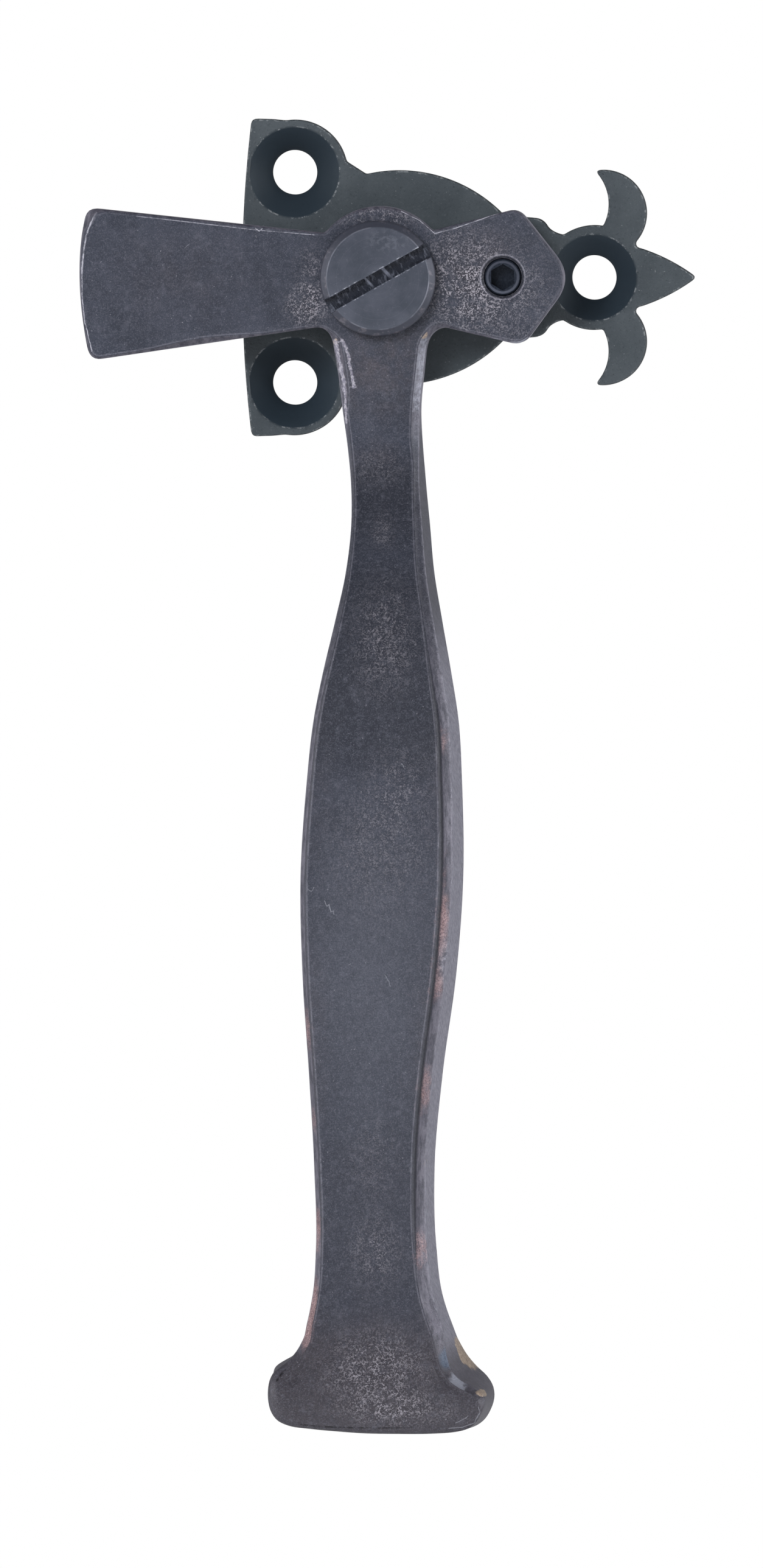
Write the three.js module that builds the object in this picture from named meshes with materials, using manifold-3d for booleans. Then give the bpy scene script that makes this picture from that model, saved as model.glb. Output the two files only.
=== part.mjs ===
// Casement window fastener: a flat backplate with a spear-and-leaf tail carries a turned boss, and a
// forged lever (tongue, hub, wing, neck, grip and foot in one piece) turns on a slotted shoulder screw.
// A hexagon-socket set screw in the wing runs into a hole in the plate and locks the lever closed.
//
// Millimetres. +X right and +Z up, seen from the room; +Y into the window frame.
// The origin is where the pivot axis meets the plate's back face, and the pivot axis runs along Y.

import * as THREE from "three";
import { mergeVertices } from "three/addons/utils/BufferGeometryUtils.js";
import Module from "manifold-3d";

const wasm = await Module();
wasm.setup();

// ---------------------------------------------------------------------------------------------
// Driving dimensions
// ---------------------------------------------------------------------------------------------

// Depths, measured towards the room from the plate's back face.
const PLATE_THICKNESS = 4.5;
const BOSS_END = 8.0;
const THRUST_WASHER_THICKNESS = 0.4;
const AXIAL_CLEARANCE = 0.1;
const LEVER_THICKNESS = 6.0;
const LEVER_BACK = BOSS_END + THRUST_WASHER_THICKNESS + AXIAL_CLEARANCE;
const LEVER_FRONT = LEVER_BACK + LEVER_THICKNESS;
const HEAD_BACK = LEVER_FRONT + AXIAL_CLEARANCE;
const HEAD_THICKNESS = 2.5;

// Fixing holes in the plate, for No. 8 countersunk wood screws.
const FIXING_HOLE_RADIUS = 2.44;
const COUNTERSINK_RADIUS = 5.0;
const TAIL_COUNTERSINK_RADIUS = 4.75;
const SIDE_HOLE_X = -9.5;
const SIDE_HOLE_Z = 11.54;
const TAIL_HOLE_X = 23.38;

// Pivot boss, brazed into a blind counterbore in the plate.
const BOSS_RADIUS = 6.4;
const SPIGOT_RADIUS = 4.4;
const COUNTERBORE_RADIUS = 4.5;
const COUNTERBORE_FLOOR = 1.5;
const BRAZE_GAP = 0.05;
const BOSS_TAPPED_RADIUS = 3.0;
const BOSS_TAPPED_FLOOR = 2.6;

// Pivot screw.
const SHOULDER_RADIUS = 4.0;
const PIVOT_THREAD_RADIUS = 2.92;
const PIVOT_THREAD_END = 3.2;
const HEAD_RADIUS = 6.33;
const HEAD_FLAT_RADIUS = 5.6;
const HEAD_CHAMFER_DEPTH = 0.6;
const SLOT_WIDTH = 1.5;
const SLOT_DEPTH = 1.3;
const SLOT_ANGLE = THREE.MathUtils.degToRad(29.3);

// Lever bore, and the recess under the screw head that holds the wave washer.
const LEVER_BORE_RADIUS = 4.08;
const WASHER_RECESS_RADIUS = 5.75;
const WASHER_RECESS_DEPTH = 0.9;
const THRUST_WASHER_BORE = 4.15;
const WAVE_WASHER_OUTER = 5.5;
const WAVE_WASHER_INNER = 4.3;
const WAVE_WASHER_THICKNESS = 0.3;
const WAVE_HEIGHT = 0.22;
const WAVE_COUNT = 3;

// Lock screw: an M5 set screw, 8 long, with a dog point.
const LOCK_SCREW_X = 13.63;
const LOCK_SCREW_Z = 0.13;
const LOCK_TAPPED_RADIUS = 2.5;
const LOCK_THREAD_RADIUS = 2.42;
const LOCK_FACE_RADIUS = 1.72;
const LOCK_DOG_RADIUS = 1.75;
const LOCK_HEAD_DEPTH = LEVER_FRONT - 0.4;
const LOCK_SCREW_LENGTH = 8.0;
const LOCK_DOG_LENGTH = 2.0;
const LOCK_CHAMFER = 0.35;
const LOCK_SOCKET_ACROSS_FLATS = 2.5;
const LOCK_SOCKET_DEPTH = 2.6;
const LOCK_HOLE_RADIUS = 1.95;

// Facets round a turned surface, and points along a curve of an outline.
const TURNED_SEGMENTS = 56;
const SMALL_SEGMENTS = 36;
const CURVE_POINTS = 8;
const CUT_OVERRUN = 1.0;

// ---------------------------------------------------------------------------------------------
// Materials
// ---------------------------------------------------------------------------------------------

function steel(colour, roughness) {
  return new THREE.MeshStandardMaterial({ color: colour, roughness, metalness: 0.85 });
}

const leverSteel = steel(0x4b4b55, 0.55);
const plateSteel = steel(0x373e41, 0.7);
const screwSteel = steel(0x555a62, 0.45);
const setScrewSteel = steel(0x1e232d, 0.35);
const springSteel = steel(0x6a6d72, 0.4);

// ---------------------------------------------------------------------------------------------
// Solids
// ---------------------------------------------------------------------------------------------

// A closed geometry as a solid: corners are welded, and triangles that the weld closes up are dropped.
function solidOf(geometry) {
  geometry.deleteAttribute("normal");
  geometry.deleteAttribute("uv");
  const welded = mergeVertices(geometry, 1e-4);
  const index = welded.index.array;
  const triangles = [];
  for (let i = 0; i < index.length; i += 3) {
    const [a, b, c] = [index[i], index[i + 1], index[i + 2]];
    if (a !== b && b !== c && c !== a) triangles.push(a, b, c);
  }
  const mesh = new wasm.Mesh({
    numProp: 3,
    vertProperties: new Float32Array(welded.attributes.position.array),
    triVerts: new Uint32Array(triangles),
  });
  return new wasm.Manifold(mesh);
}

function meshOf(name, solid, material) {
  const { vertProperties, triVerts } = solid.getMesh();
  const geometry = new THREE.BufferGeometry();
  geometry.setAttribute("position", new THREE.BufferAttribute(vertProperties, 3));
  geometry.setIndex(new THREE.BufferAttribute(triVerts, 1));
  geometry.computeVertexNormals();
  const mesh = new THREE.Mesh(geometry, material);
  mesh.name = name;
  return mesh;
}

// A body turned about the Y axis from a profile of [radius, depth] pairs, depth running towards the
// room. The profile goes from the deepest end to the shallowest along its outside.
function turned(profile, segments = TURNED_SEGMENTS) {
  const points = profile.map(([radius, depth]) => new THREE.Vector2(radius, -depth));
  return solidOf(new THREE.LatheGeometry(points, segments));
}

function plainPin(radius, near, far, segments) {
  return turned([[0, far], [radius, far], [radius, near], [0, near]], segments);
}

function ring(inner, outer, near, far) {
  return turned([[inner, far], [outer, far], [outer, near], [inner, near], [inner, far]]);
}

// An outline in X and Z, made solid between two depths.
function flatPiece(shape, near, far) {
  const options = { depth: far - near, bevelEnabled: false, curveSegments: CURVE_POINTS };
  const geometry = new THREE.ExtrudeGeometry(shape, options);
  geometry.rotateX(Math.PI / 2);
  geometry.translate(0, -near, 0);
  return solidOf(geometry);
}

// ---------------------------------------------------------------------------------------------
// Backplate
// ---------------------------------------------------------------------------------------------

// The angle of a point seen from an arc's centre.
function bearing(centre, x, z) {
  return Math.atan2(z - centre.z, x - centre.x);
}

function arcThrough(path, centre, radius, from, to, clockwise) {
  const start = bearing(centre, ...from);
  const end = bearing(centre, ...to);
  path.absarc(centre.x, centre.z, radius, start, end, clockwise);
}

// The upper half of the plate's outline, from the middle of its left edge round to the spear's point.
function plateUpperEdge() {
  const leftEdge = { x: 129.7, z: 0 };
  const body = { x: 1.93, z: -4.24 };
  const sideLobe = { x: SIDE_HOLE_X, z: SIDE_HOLE_Z };
  const tailRing = { x: TAIL_HOLE_X, z: 0 };
  const leafInside = { x: 19.9, z: 8.08 };
  const leafOutside = { x: 24.38, z: 7.05 };
  const spear = { x: 26.26, z: -8.58 };
  const path = new THREE.Path();
  path.moveTo(leftEdge.x - 144.95, 0);
  arcThrough(path, leftEdge, 144.95, [-15.25, 0], [-14.26, 16.95], true);
  path.quadraticCurveTo(-14.2, 17.42, -13.7, 17.44);
  path.lineTo(-11.9, 17.38);
  arcThrough(path, sideLobe, 5.8, [-10.5, 17.25], [-3.77, 12.76], true);
  path.lineTo(-1.6, 11.3);
  arcThrough(path, body, 16.0, [-1.6, 11.3], [13.67, 7.0], true);
  path.lineTo(17.0, 6.53);
  path.quadraticCurveTo(17.9, 6.4, 18.3, 5.55);
  path.quadraticCurveTo(18.8, 4.95, 20.0, 4.67);
  arcThrough(path, tailRing, 5.75, [20.0, 4.67], [24.3, 5.68], true);
  arcThrough(path, leafInside, 5.1, [24.38, 5.63], [23.75, 11.44], false);
  path.lineTo(23.8, 11.75);
  arcThrough(path, leafOutside, 4.77, [24.0, 11.8], [27.93, 3.8], true);
  path.quadraticCurveTo(27.85, 3.3, 28.45, 3.18);
  arcThrough(path, spear, 11.96, [28.45, 3.18], [34.3, 0.35], true);
  path.lineTo(34.42, 0);
  return path;
}

function backplateShape() {
  const upper = plateUpperEdge().getPoints(CURVE_POINTS);
  const lower = upper.slice(1, -1).reverse().map((p) => new THREE.Vector2(p.x, -p.y));
  return new THREE.Shape([...upper, ...lower]);
}

// The cutter for a countersunk fixing hole: a 90 degree cone over a straight hole.
function fixingHole(x, z, coneRadius) {
  const coneDepth = coneRadius - FIXING_HOLE_RADIUS;
  const cutter = turned([
    [0, PLATE_THICKNESS + CUT_OVERRUN],
    [coneRadius + CUT_OVERRUN, PLATE_THICKNESS + CUT_OVERRUN],
    [FIXING_HOLE_RADIUS, PLATE_THICKNESS - coneDepth],
    [FIXING_HOLE_RADIUS, -CUT_OVERRUN],
    [0, -CUT_OVERRUN],
  ], SMALL_SEGMENTS);
  return cutter.translate([x, 0, z]);
}

function backplate() {
  const counterbore = plainPin(COUNTERBORE_RADIUS, COUNTERBORE_FLOOR, PLATE_THICKNESS + CUT_OVERRUN);
  const lockHole = plainPin(LOCK_HOLE_RADIUS, -CUT_OVERRUN, PLATE_THICKNESS + CUT_OVERRUN, SMALL_SEGMENTS);
  return flatPiece(backplateShape(), 0, PLATE_THICKNESS)
    .subtract(fixingHole(SIDE_HOLE_X, SIDE_HOLE_Z, COUNTERSINK_RADIUS))
    .subtract(fixingHole(SIDE_HOLE_X, -SIDE_HOLE_Z, COUNTERSINK_RADIUS))
    .subtract(fixingHole(TAIL_HOLE_X, 0, TAIL_COUNTERSINK_RADIUS))
    .subtract(lockHole.translate([LOCK_SCREW_X, 0, LOCK_SCREW_Z]))
    .subtract(counterbore);
}

// ---------------------------------------------------------------------------------------------
// Pivot
// ---------------------------------------------------------------------------------------------

// A stand-off with a spigot at its back and a blind tapped hole at its front.
function pivotBoss() {
  return turned([
    [0, BOSS_TAPPED_FLOOR],
    [BOSS_TAPPED_RADIUS, BOSS_TAPPED_FLOOR],
    [BOSS_TAPPED_RADIUS, BOSS_END],
    [BOSS_RADIUS, BOSS_END],
    [BOSS_RADIUS, PLATE_THICKNESS],
    [SPIGOT_RADIUS, PLATE_THICKNESS],
    [SPIGOT_RADIUS, COUNTERBORE_FLOOR + BRAZE_GAP],
    [0, COUNTERBORE_FLOOR + BRAZE_GAP],
  ]);
}

function thrustWasher() {
  return ring(THRUST_WASHER_BORE, BOSS_RADIUS, BOSS_END, BOSS_END + THRUST_WASHER_THICKNESS);
}

// A spring washer whose ring rises and falls WAVE_COUNT times round its circle.
function waveWasher() {
  const middle = LEVER_FRONT - WASHER_RECESS_DEPTH / 2;
  const half = WAVE_WASHER_THICKNESS / 2;
  const [near, far] = [middle - half, middle + half];
  const profile = [
    [WAVE_WASHER_INNER, far],
    [WAVE_WASHER_OUTER, far],
    [WAVE_WASHER_OUTER, near],
    [WAVE_WASHER_INNER, near],
    [WAVE_WASHER_INNER, far],
  ];
  const points = profile.map(([radius, depth]) => new THREE.Vector2(radius, -depth));
  const geometry = new THREE.LatheGeometry(points, TURNED_SEGMENTS);
  const position = geometry.attributes.position;
  for (let i = 0; i < position.count; i += 1) {
    const angle = Math.atan2(position.getZ(i), position.getX(i));
    position.setY(i, position.getY(i) + WAVE_HEIGHT * Math.cos(WAVE_COUNT * angle));
  }
  return solidOf(geometry);
}

// A shoulder screw: chamfered cheese head with a slot, plain shoulder, threaded end.
function pivotScrew() {
  const headFront = HEAD_BACK + HEAD_THICKNESS;
  const body = turned([
    [0, headFront],
    [HEAD_FLAT_RADIUS, headFront],
    [HEAD_RADIUS, headFront - HEAD_CHAMFER_DEPTH],
    [HEAD_RADIUS, HEAD_BACK],
    [SHOULDER_RADIUS, HEAD_BACK],
    [SHOULDER_RADIUS, BOSS_END],
    [PIVOT_THREAD_RADIUS, BOSS_END],
    [PIVOT_THREAD_RADIUS, PIVOT_THREAD_END],
    [0, PIVOT_THREAD_END],
  ]);
  const slot = new THREE.BoxGeometry(4 * HEAD_RADIUS, 2 * SLOT_DEPTH, SLOT_WIDTH);
  slot.rotateY(-SLOT_ANGLE);
  slot.translate(0, -headFront, 0);
  return body.subtract(solidOf(slot));
}

// ---------------------------------------------------------------------------------------------
// Lock screw
// ---------------------------------------------------------------------------------------------

function lockScrew() {
  const tip = LOCK_HEAD_DEPTH - LOCK_SCREW_LENGTH;
  const body = turned([
    [0, LOCK_HEAD_DEPTH],
    [LOCK_FACE_RADIUS, LOCK_HEAD_DEPTH],
    [LOCK_THREAD_RADIUS, LOCK_HEAD_DEPTH - (LOCK_THREAD_RADIUS - LOCK_FACE_RADIUS)],
    [LOCK_THREAD_RADIUS, tip + LOCK_DOG_LENGTH + LOCK_CHAMFER],
    [LOCK_DOG_RADIUS, tip + LOCK_DOG_LENGTH],
    [LOCK_DOG_RADIUS, tip + LOCK_CHAMFER],
    [LOCK_DOG_RADIUS - LOCK_CHAMFER, tip],
    [0, tip],
  ], SMALL_SEGMENTS);
  const cornerRadius = LOCK_SOCKET_ACROSS_FLATS / Math.sqrt(3);
  const socket = new THREE.CylinderGeometry(cornerRadius, cornerRadius, 2 * LOCK_SOCKET_DEPTH, 6);
  socket.translate(0, -LOCK_HEAD_DEPTH, 0);
  return body.subtract(solidOf(socket)).translate([LOCK_SCREW_X, 0, LOCK_SCREW_Z]);
}

// ---------------------------------------------------------------------------------------------
// Lever
// ---------------------------------------------------------------------------------------------

// The flat part of the lever: tongue to the left, hub round the pivot, wing to the right, and the
// root of the neck below.
function crossPieceShape() {
  const hub = { x: 0.1, z: 0.4 };
  const hubRadius = 7.5;
  const tongueNotch = [-5.9, 5.0];
  const wingNotch = [5.85, 5.2];
  const shape = new THREE.Shape();
  shape.moveTo(...tongueNotch);
  shape.lineTo(-30.4, 7.66);
  shape.quadraticCurveTo(-31.6, 7.85, -31.75, 6.6);
  shape.quadraticCurveTo(-33.8, -0.55, -31.9, -7.7);
  shape.quadraticCurveTo(-31.8, -9.05, -30.4, -8.8);
  shape.lineTo(-6.9, -5.32);
  shape.quadraticCurveTo(-5.1, -5.1, -4.8, -7.6);
  shape.lineTo(-4.4, -10.6);
  shape.lineTo(4.9, -10.6);
  shape.lineTo(5.25, -7.9);
  shape.quadraticCurveTo(5.6, -5.5, 7.5, -5.33);
  shape.lineTo(14.6, -7.05);
  shape.quadraticCurveTo(15.7, -7.3, 16.5, -6.5);
  shape.lineTo(19.35, -2.6);
  shape.quadraticCurveTo(21.4, 0, 19.35, 2.6);
  shape.lineTo(16.1, 6.75);
  shape.quadraticCurveTo(15.3, 7.75, 14.2, 7.42);
  shape.lineTo(...wingNotch);
  arcThrough(shape, hub, hubRadius, wingNotch, tongueNotch, false);
  return shape;
}

// The neck, grip and foot, as cross-sections down the lever: height, middle in X and in depth, half
// width, half thickness, edge chamfer, and twist about the vertical in degrees. The grip is cranked
// out from the window for the fingers, swells in the hand and spreads into a hammer-like foot.
const FLAT = (LEVER_BACK + LEVER_FRONT) / 2;
const GRIP_DEPTH = 25.5;
const TWIST = 9;
const gripSections = [
  { z: -9.0, x: 0.28, depth: FLAT, half: 4.8, thick: 2.9, chamfer: 0.4, twist: 0 },
  { z: -14.3, x: 0.43, depth: FLAT, half: 4.15, thick: 2.9, chamfer: 0.5, twist: 0.5 },
  { z: -18.5, x: 0.8, depth: FLAT + 0.4, half: 3.85, thick: 2.9, chamfer: 0.7, twist: 4 },
  { z: -22.5, x: 1.15, depth: FLAT + 1.8, half: 3.6, thick: 2.95, chamfer: 0.9, twist: 7.5 },
  { z: -27, x: 1.45, depth: FLAT + 4.6, half: 3.75, thick: 3.1, chamfer: 1.05, twist: TWIST },
  { z: -32.2, x: 1.5, depth: FLAT + 8.2, half: 4.35, thick: 3.35, chamfer: 1.1, twist: TWIST },
  { z: -37.5, x: 1.35, depth: FLAT + 11.2, half: 5.4, thick: 3.6, chamfer: 1.15, twist: TWIST },
  { z: -42.8, x: 1.2, depth: FLAT + 13.1, half: 6.45, thick: 3.85, chamfer: 1.15, twist: TWIST },
  { z: -48.2, x: 1.1, depth: GRIP_DEPTH - 0.1, half: 7.35, thick: 4.1, chamfer: 1.15, twist: TWIST },
  { z: -55, x: 0.95, depth: GRIP_DEPTH + 0.4, half: 7.95, thick: 4.35, chamfer: 1.2, twist: TWIST },
  { z: -65, x: 0.7, depth: GRIP_DEPTH + 0.7, half: 8.35, thick: 4.5, chamfer: 1.25, twist: TWIST },
  { z: -76, x: 0.4, depth: GRIP_DEPTH + 0.6, half: 7.85, thick: 4.45, chamfer: 1.25, twist: TWIST },
  { z: -87, x: 0.05, depth: GRIP_DEPTH + 0.2, half: 6.75, thick: 4.15, chamfer: 1.2, twist: TWIST },
  { z: -97, x: -0.1, depth: GRIP_DEPTH - 0.3, half: 5.95, thick: 3.85, chamfer: 1.15, twist: TWIST },
  { z: -106, x: 0.07, depth: GRIP_DEPTH - 0.6, half: 6.0, thick: 3.9, chamfer: 1.15, twist: TWIST },
  { z: -111.5, x: 0.3, depth: GRIP_DEPTH - 0.6, half: 6.55, thick: 4.3, chamfer: 1.2, twist: 8 },
  { z: -115.5, x: 0.55, depth: GRIP_DEPTH - 0.6, half: 7.8, thick: 4.9, chamfer: 1.4, twist: 7 },
  { z: -118.3, x: 0.6, depth: GRIP_DEPTH - 0.6, half: 9.7, thick: 5.6, chamfer: 1.7, twist: 5 },
  { z: -120.5, x: 0.65, depth: GRIP_DEPTH - 0.6, half: 11.7, thick: 6.2, chamfer: 2.0, twist: 4 },
  { z: -122.6, x: 0.75, depth: GRIP_DEPTH - 0.6, half: 12.3, thick: 6.4, chamfer: 2.2, twist: 3.5 },
  { z: -124.6, x: 0.7, depth: GRIP_DEPTH - 0.6, half: 11.7, thick: 6.0, chamfer: 2.3, twist: 3 },
  { z: -125.8, x: 0.7, depth: GRIP_DEPTH - 0.6, half: 10.4, thick: 5.1, chamfer: 2.2, twist: 3 },
  { z: -126.3, x: 0.7, depth: GRIP_DEPTH - 0.6, half: 8.6, thick: 3.9, chamfer: 2.0, twist: 3 },
];

// The eight corners of one cross-section, counter-clockwise seen from above.
function sectionCorners({ x, depth, half, thick, chamfer, twist }) {
  const flatHalf = half - chamfer;
  const sideHalf = thick - chamfer;
  const corners = [
    [half, -sideHalf],
    [half, sideHalf],
    [flatHalf, thick],
    [-flatHalf, thick],
    [-half, sideHalf],
    [-half, -sideHalf],
    [-flatHalf, -thick],
    [flatHalf, -thick],
  ];
  const turn = THREE.MathUtils.degToRad(-twist);
  return corners.map(([u, v]) => [
    x + u * Math.cos(turn) - v * Math.sin(turn),
    -depth + u * Math.sin(turn) + v * Math.cos(turn),
  ]);
}

// An eight-sided cylinder whose rings of corners are moved onto the cross-sections.
function gripSolid() {
  const sides = 8;
  const rings = gripSections.length;
  const cylinder = new THREE.CylinderGeometry(1, 1, 1, sides, rings - 1);
  const position = cylinder.attributes.position;
  const side = (2 * Math.PI) / sides;
  for (let i = 0; i < position.count; i += 1) {
    const [px, py, pz] = [position.getX(i), position.getY(i), position.getZ(i)];
    const section = gripSections[Math.round((0.5 - py) * (rings - 1))];
    if (Math.hypot(px, pz) < 0.5) {
      position.setXYZ(i, section.x, -section.depth, section.z);
      continue;
    }
    const corner = Math.round(Math.atan2(px, pz) / side + sides) % sides;
    const [x, y] = sectionCorners(section)[corner];
    position.setXYZ(i, x, y, section.z);
  }
  return solidOf(cylinder);
}

function lever() {
  const bore = plainPin(LEVER_BORE_RADIUS, LEVER_BACK - CUT_OVERRUN, LEVER_FRONT + CUT_OVERRUN);
  const recess = plainPin(
    WASHER_RECESS_RADIUS,
    LEVER_FRONT - WASHER_RECESS_DEPTH,
    LEVER_FRONT + CUT_OVERRUN,
  );
  const tapping = plainPin(
    LOCK_TAPPED_RADIUS,
    LEVER_BACK - CUT_OVERRUN,
    LEVER_FRONT + CUT_OVERRUN,
    SMALL_SEGMENTS,
  );
  return flatPiece(crossPieceShape(), LEVER_BACK, LEVER_FRONT)
    .add(gripSolid())
    .subtract(bore)
    .subtract(recess)
    .subtract(tapping.translate([LOCK_SCREW_X, 0, LOCK_SCREW_Z]));
}

// ---------------------------------------------------------------------------------------------
// Assembly
// ---------------------------------------------------------------------------------------------

const fastener = new THREE.Group();
fastener.add(
  meshOf("backplate", backplate(), plateSteel),
  meshOf("pivot_boss", pivotBoss(), plateSteel),
  meshOf("thrust_washer", thrustWasher(), springSteel),
  meshOf("lever", lever(), leverSteel),
  meshOf("wave_washer", waveWasher(), springSteel),
  meshOf("pivot_screw", pivotScrew(), screwSteel),
  meshOf("lock_screw", lockScrew(), setScrewSteel),
);

export default fastener;
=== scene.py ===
"""Looks for a casement window fastener: a forged lever with a long grip on a steel backplate."""

import math

import bmesh
import bpy
import numpy as np
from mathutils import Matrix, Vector, geometry, noise


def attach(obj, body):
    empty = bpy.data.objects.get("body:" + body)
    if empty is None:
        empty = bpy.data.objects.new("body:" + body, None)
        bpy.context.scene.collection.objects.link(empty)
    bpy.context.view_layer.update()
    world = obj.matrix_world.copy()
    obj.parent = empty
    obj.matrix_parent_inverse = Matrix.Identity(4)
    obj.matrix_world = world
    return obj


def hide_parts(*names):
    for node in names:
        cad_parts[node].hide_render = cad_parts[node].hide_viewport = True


MM = 0.001

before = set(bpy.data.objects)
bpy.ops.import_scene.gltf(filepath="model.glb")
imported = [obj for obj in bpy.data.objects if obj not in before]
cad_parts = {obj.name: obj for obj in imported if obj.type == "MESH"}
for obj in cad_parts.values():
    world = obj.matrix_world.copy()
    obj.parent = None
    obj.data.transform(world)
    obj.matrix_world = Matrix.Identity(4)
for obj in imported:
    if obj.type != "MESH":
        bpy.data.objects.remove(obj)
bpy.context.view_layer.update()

# ---- Dimensions in millimetres. Depths run towards the room from the back of the plate.

PLATE = 4.5
BOSS_END = 8.0
THRUST_END = 8.4
LEVER_BACK = 8.5
LEVER_FRONT = 14.5
LEVER_MIDDLE = (LEVER_BACK + LEVER_FRONT) / 2
HEAD_BACK = 14.6
HEAD_FRONT = 17.1
LOCK_X = 13.63
LOCK_Z = 0.13
GRIP_ROOT = -9.0  # height where the flat cross-piece ends
HUB_MIDDLE = 0.28
HEAD_RADIUS = 6.33
LEVER_BORE = 4.08
RECESS_RADIUS = 5.75
RECESS_DEPTH = 0.9
BOSS_RADIUS = 6.4
BOSS_BORE = 3.0
BOSS_FLOOR = 2.6
SPIGOT_RADIUS = 4.4
SPIGOT_BACK = 1.55
SHANK_RADIUS = 4.0
PIVOT_CREST = 2.92
PIVOT_CORE = 2.5
PIVOT_PITCH = 1.0
LOCK_SUNK = 0.4  # how far the lock screw's end lies below the wing's face
LOCK_LENGTH = 8.0
LOCK_PITCH = 0.8
LOCK_CREST = 2.42
LOCK_CORE = 2.0
DOG_RADIUS = 1.75
SOCKET_FLATS = 2.5
SOCKET_DEPTH = 2.4
WAVE_HEIGHT = 0.22
WAVE_COUNT = 3
HOLE_SEGMENTS = 96

# How meshes are spaced: steps of an inset, rows of triangles for their side, and the room between
# an edge and the first point inside it, as a share of the spacing.
INSET_STEP = 0.05
ROW_RATIO = 0.866
CLEARANCE = 0.55

# ---- Curves


def arc(centre, radius, start, end, clockwise=False):
    """Points on an arc from the bearing of one point to the bearing of another."""
    a = math.atan2(start[1] - centre[1], start[0] - centre[0])
    b = math.atan2(end[1] - centre[1], end[0] - centre[0])
    if clockwise and b > a:
        b -= 2 * math.pi
    if not clockwise and b < a:
        b += 2 * math.pi
    angles = np.linspace(a, b, 40)
    return [(centre[0] + radius * math.cos(t), centre[1] + radius * math.sin(t)) for t in angles]


def bend(start, control, end):
    """Points on a quadratic curve."""
    t = np.linspace(0, 1, 16)[:, None]
    start, control, end = (np.array(p, float) for p in (start, control, end))
    points = (1 - t) ** 2 * start + 2 * t * (1 - t) * control + t * t * end
    return [tuple(p) for p in points]


def closed_outline(points, step, rounding):
    """A closed line through the points at an even step, its corners softened over a few steps."""
    p = np.array(points, float)
    keep = np.hypot(*(p - np.roll(p, 1, 0)).T) > 1e-6
    p = p[keep]
    ends = np.vstack([p, p[:1]])
    run = np.concatenate([[0], np.cumsum(np.hypot(*np.diff(ends, axis=0).T))])
    count = int(round(run[-1] / step))
    s = np.arange(count) * run[-1] / count
    line = np.column_stack([np.interp(s, run, ends[:, k]) for k in (0, 1)])
    reach = int(3 * rounding / step) + 1
    shifts = np.arange(-reach, reach + 1)
    weights = np.exp(-0.5 * (shifts * step / rounding) ** 2)
    weights /= weights.sum()
    line = sum(w * np.roll(line, k, 0) for w, k in zip(weights, shifts))
    area = 0.5 * np.sum(line[:, 0] * np.roll(line[:, 1], -1) - line[:, 1] * np.roll(line[:, 0], -1))
    return line if area > 0 else line[::-1]


def inset(line, distance):
    """The closed line moved into its own shape, in small steps that keep its points spread out."""
    distance = np.broadcast_to(np.asarray(distance, float), (len(line),))
    steps = max(1, int(np.ceil(np.abs(distance).max() / INSET_STEP)))
    for _ in range(steps):
        along = np.roll(line, -1, 0) - np.roll(line, 1, 0)
        along /= np.linalg.norm(along, axis=1)[:, None] + 1e-12
        inward = np.column_stack([-along[:, 1], along[:, 0]])
        line = line + inward * (distance / steps)[:, None]
        pull = 0.5 * (np.roll(line, -1, 0) + np.roll(line, 1, 0)) - line
        line = line + 0.5 * along * np.sum(pull * along, axis=1)[:, None]
    return line


def circle(centre, radius, count):
    t = np.arange(count) * 2 * math.pi / count
    return np.column_stack([centre[0] + radius * np.cos(t), centre[1] + radius * np.sin(t)])


def hermite(t, gap, start, slope, end, end_slope):
    """A smooth step from start to end with the slopes given, for t from 0 to 1 over a gap."""
    return (
        (2 * t**3 - 3 * t**2 + 1) * start
        + (t**3 - 2 * t**2 + t) * gap * slope
        + (3 * t**2 - 2 * t**3) * end
        + (t**3 - t**2) * gap * end_slope
    )


def through(key, z):
    """A smooth curve through one value of the grip's stations, at the heights z."""
    heights, values = STATIONS["z"], STATIONS[key]
    slopes = np.gradient(values, heights)
    z = np.clip(z, heights[0], heights[-1])
    i = np.clip(np.searchsorted(heights, z) - 1, 0, len(heights) - 2)
    gap = heights[i + 1] - heights[i]
    t = (z - heights[i]) / gap
    return hermite(t, gap, values[i], slopes[i], values[i + 1], slopes[i + 1])


def ease(x, low, high):
    """0 below low, 1 above high, smooth between."""
    t = np.clip((np.asarray(x, float) - low) / (high - low), 0, 1)
    return t * t * (3 - 2 * t)


# ---- Meshes


def make_object(name, points, faces, body, slot, replaced, attributes=None, sharp=50):
    """A mesh object from points in millimetres, riding on a body."""
    mesh = bpy.data.meshes.new(name)
    mesh.from_pydata((np.asarray(points) * MM).tolist(), [], faces)
    mesh.update()
    for key, values in (attributes or {}).items():
        layer = mesh.attributes.new(key, "FLOAT", "POINT")
        layer.data.foreach_set("value", np.asarray(values, np.float32))
    mesh.shade_smooth()
    mesh.set_sharp_from_angle(angle=math.radians(sharp))
    piece = bpy.data.objects.new(name, mesh)
    bpy.context.scene.collection.objects.link(piece)
    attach(piece, body)
    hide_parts(*replaced)
    return piece


def inside(points, loop):
    """Which points lie inside a closed loop."""
    x, z = points[:, 0][:, None], points[:, 1][:, None]
    x1, z1 = loop[:, 0], loop[:, 1]
    x2, z2 = np.roll(x1, -1), np.roll(z1, -1)
    crosses = (z1 > z) != (z2 > z)
    with np.errstate(divide="ignore", invalid="ignore"):
        at = (x2 - x1) * (z - z1) / (z2 - z1) + x1
    return (np.sum(crosses & (x < at), axis=1) % 2) == 1


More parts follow.
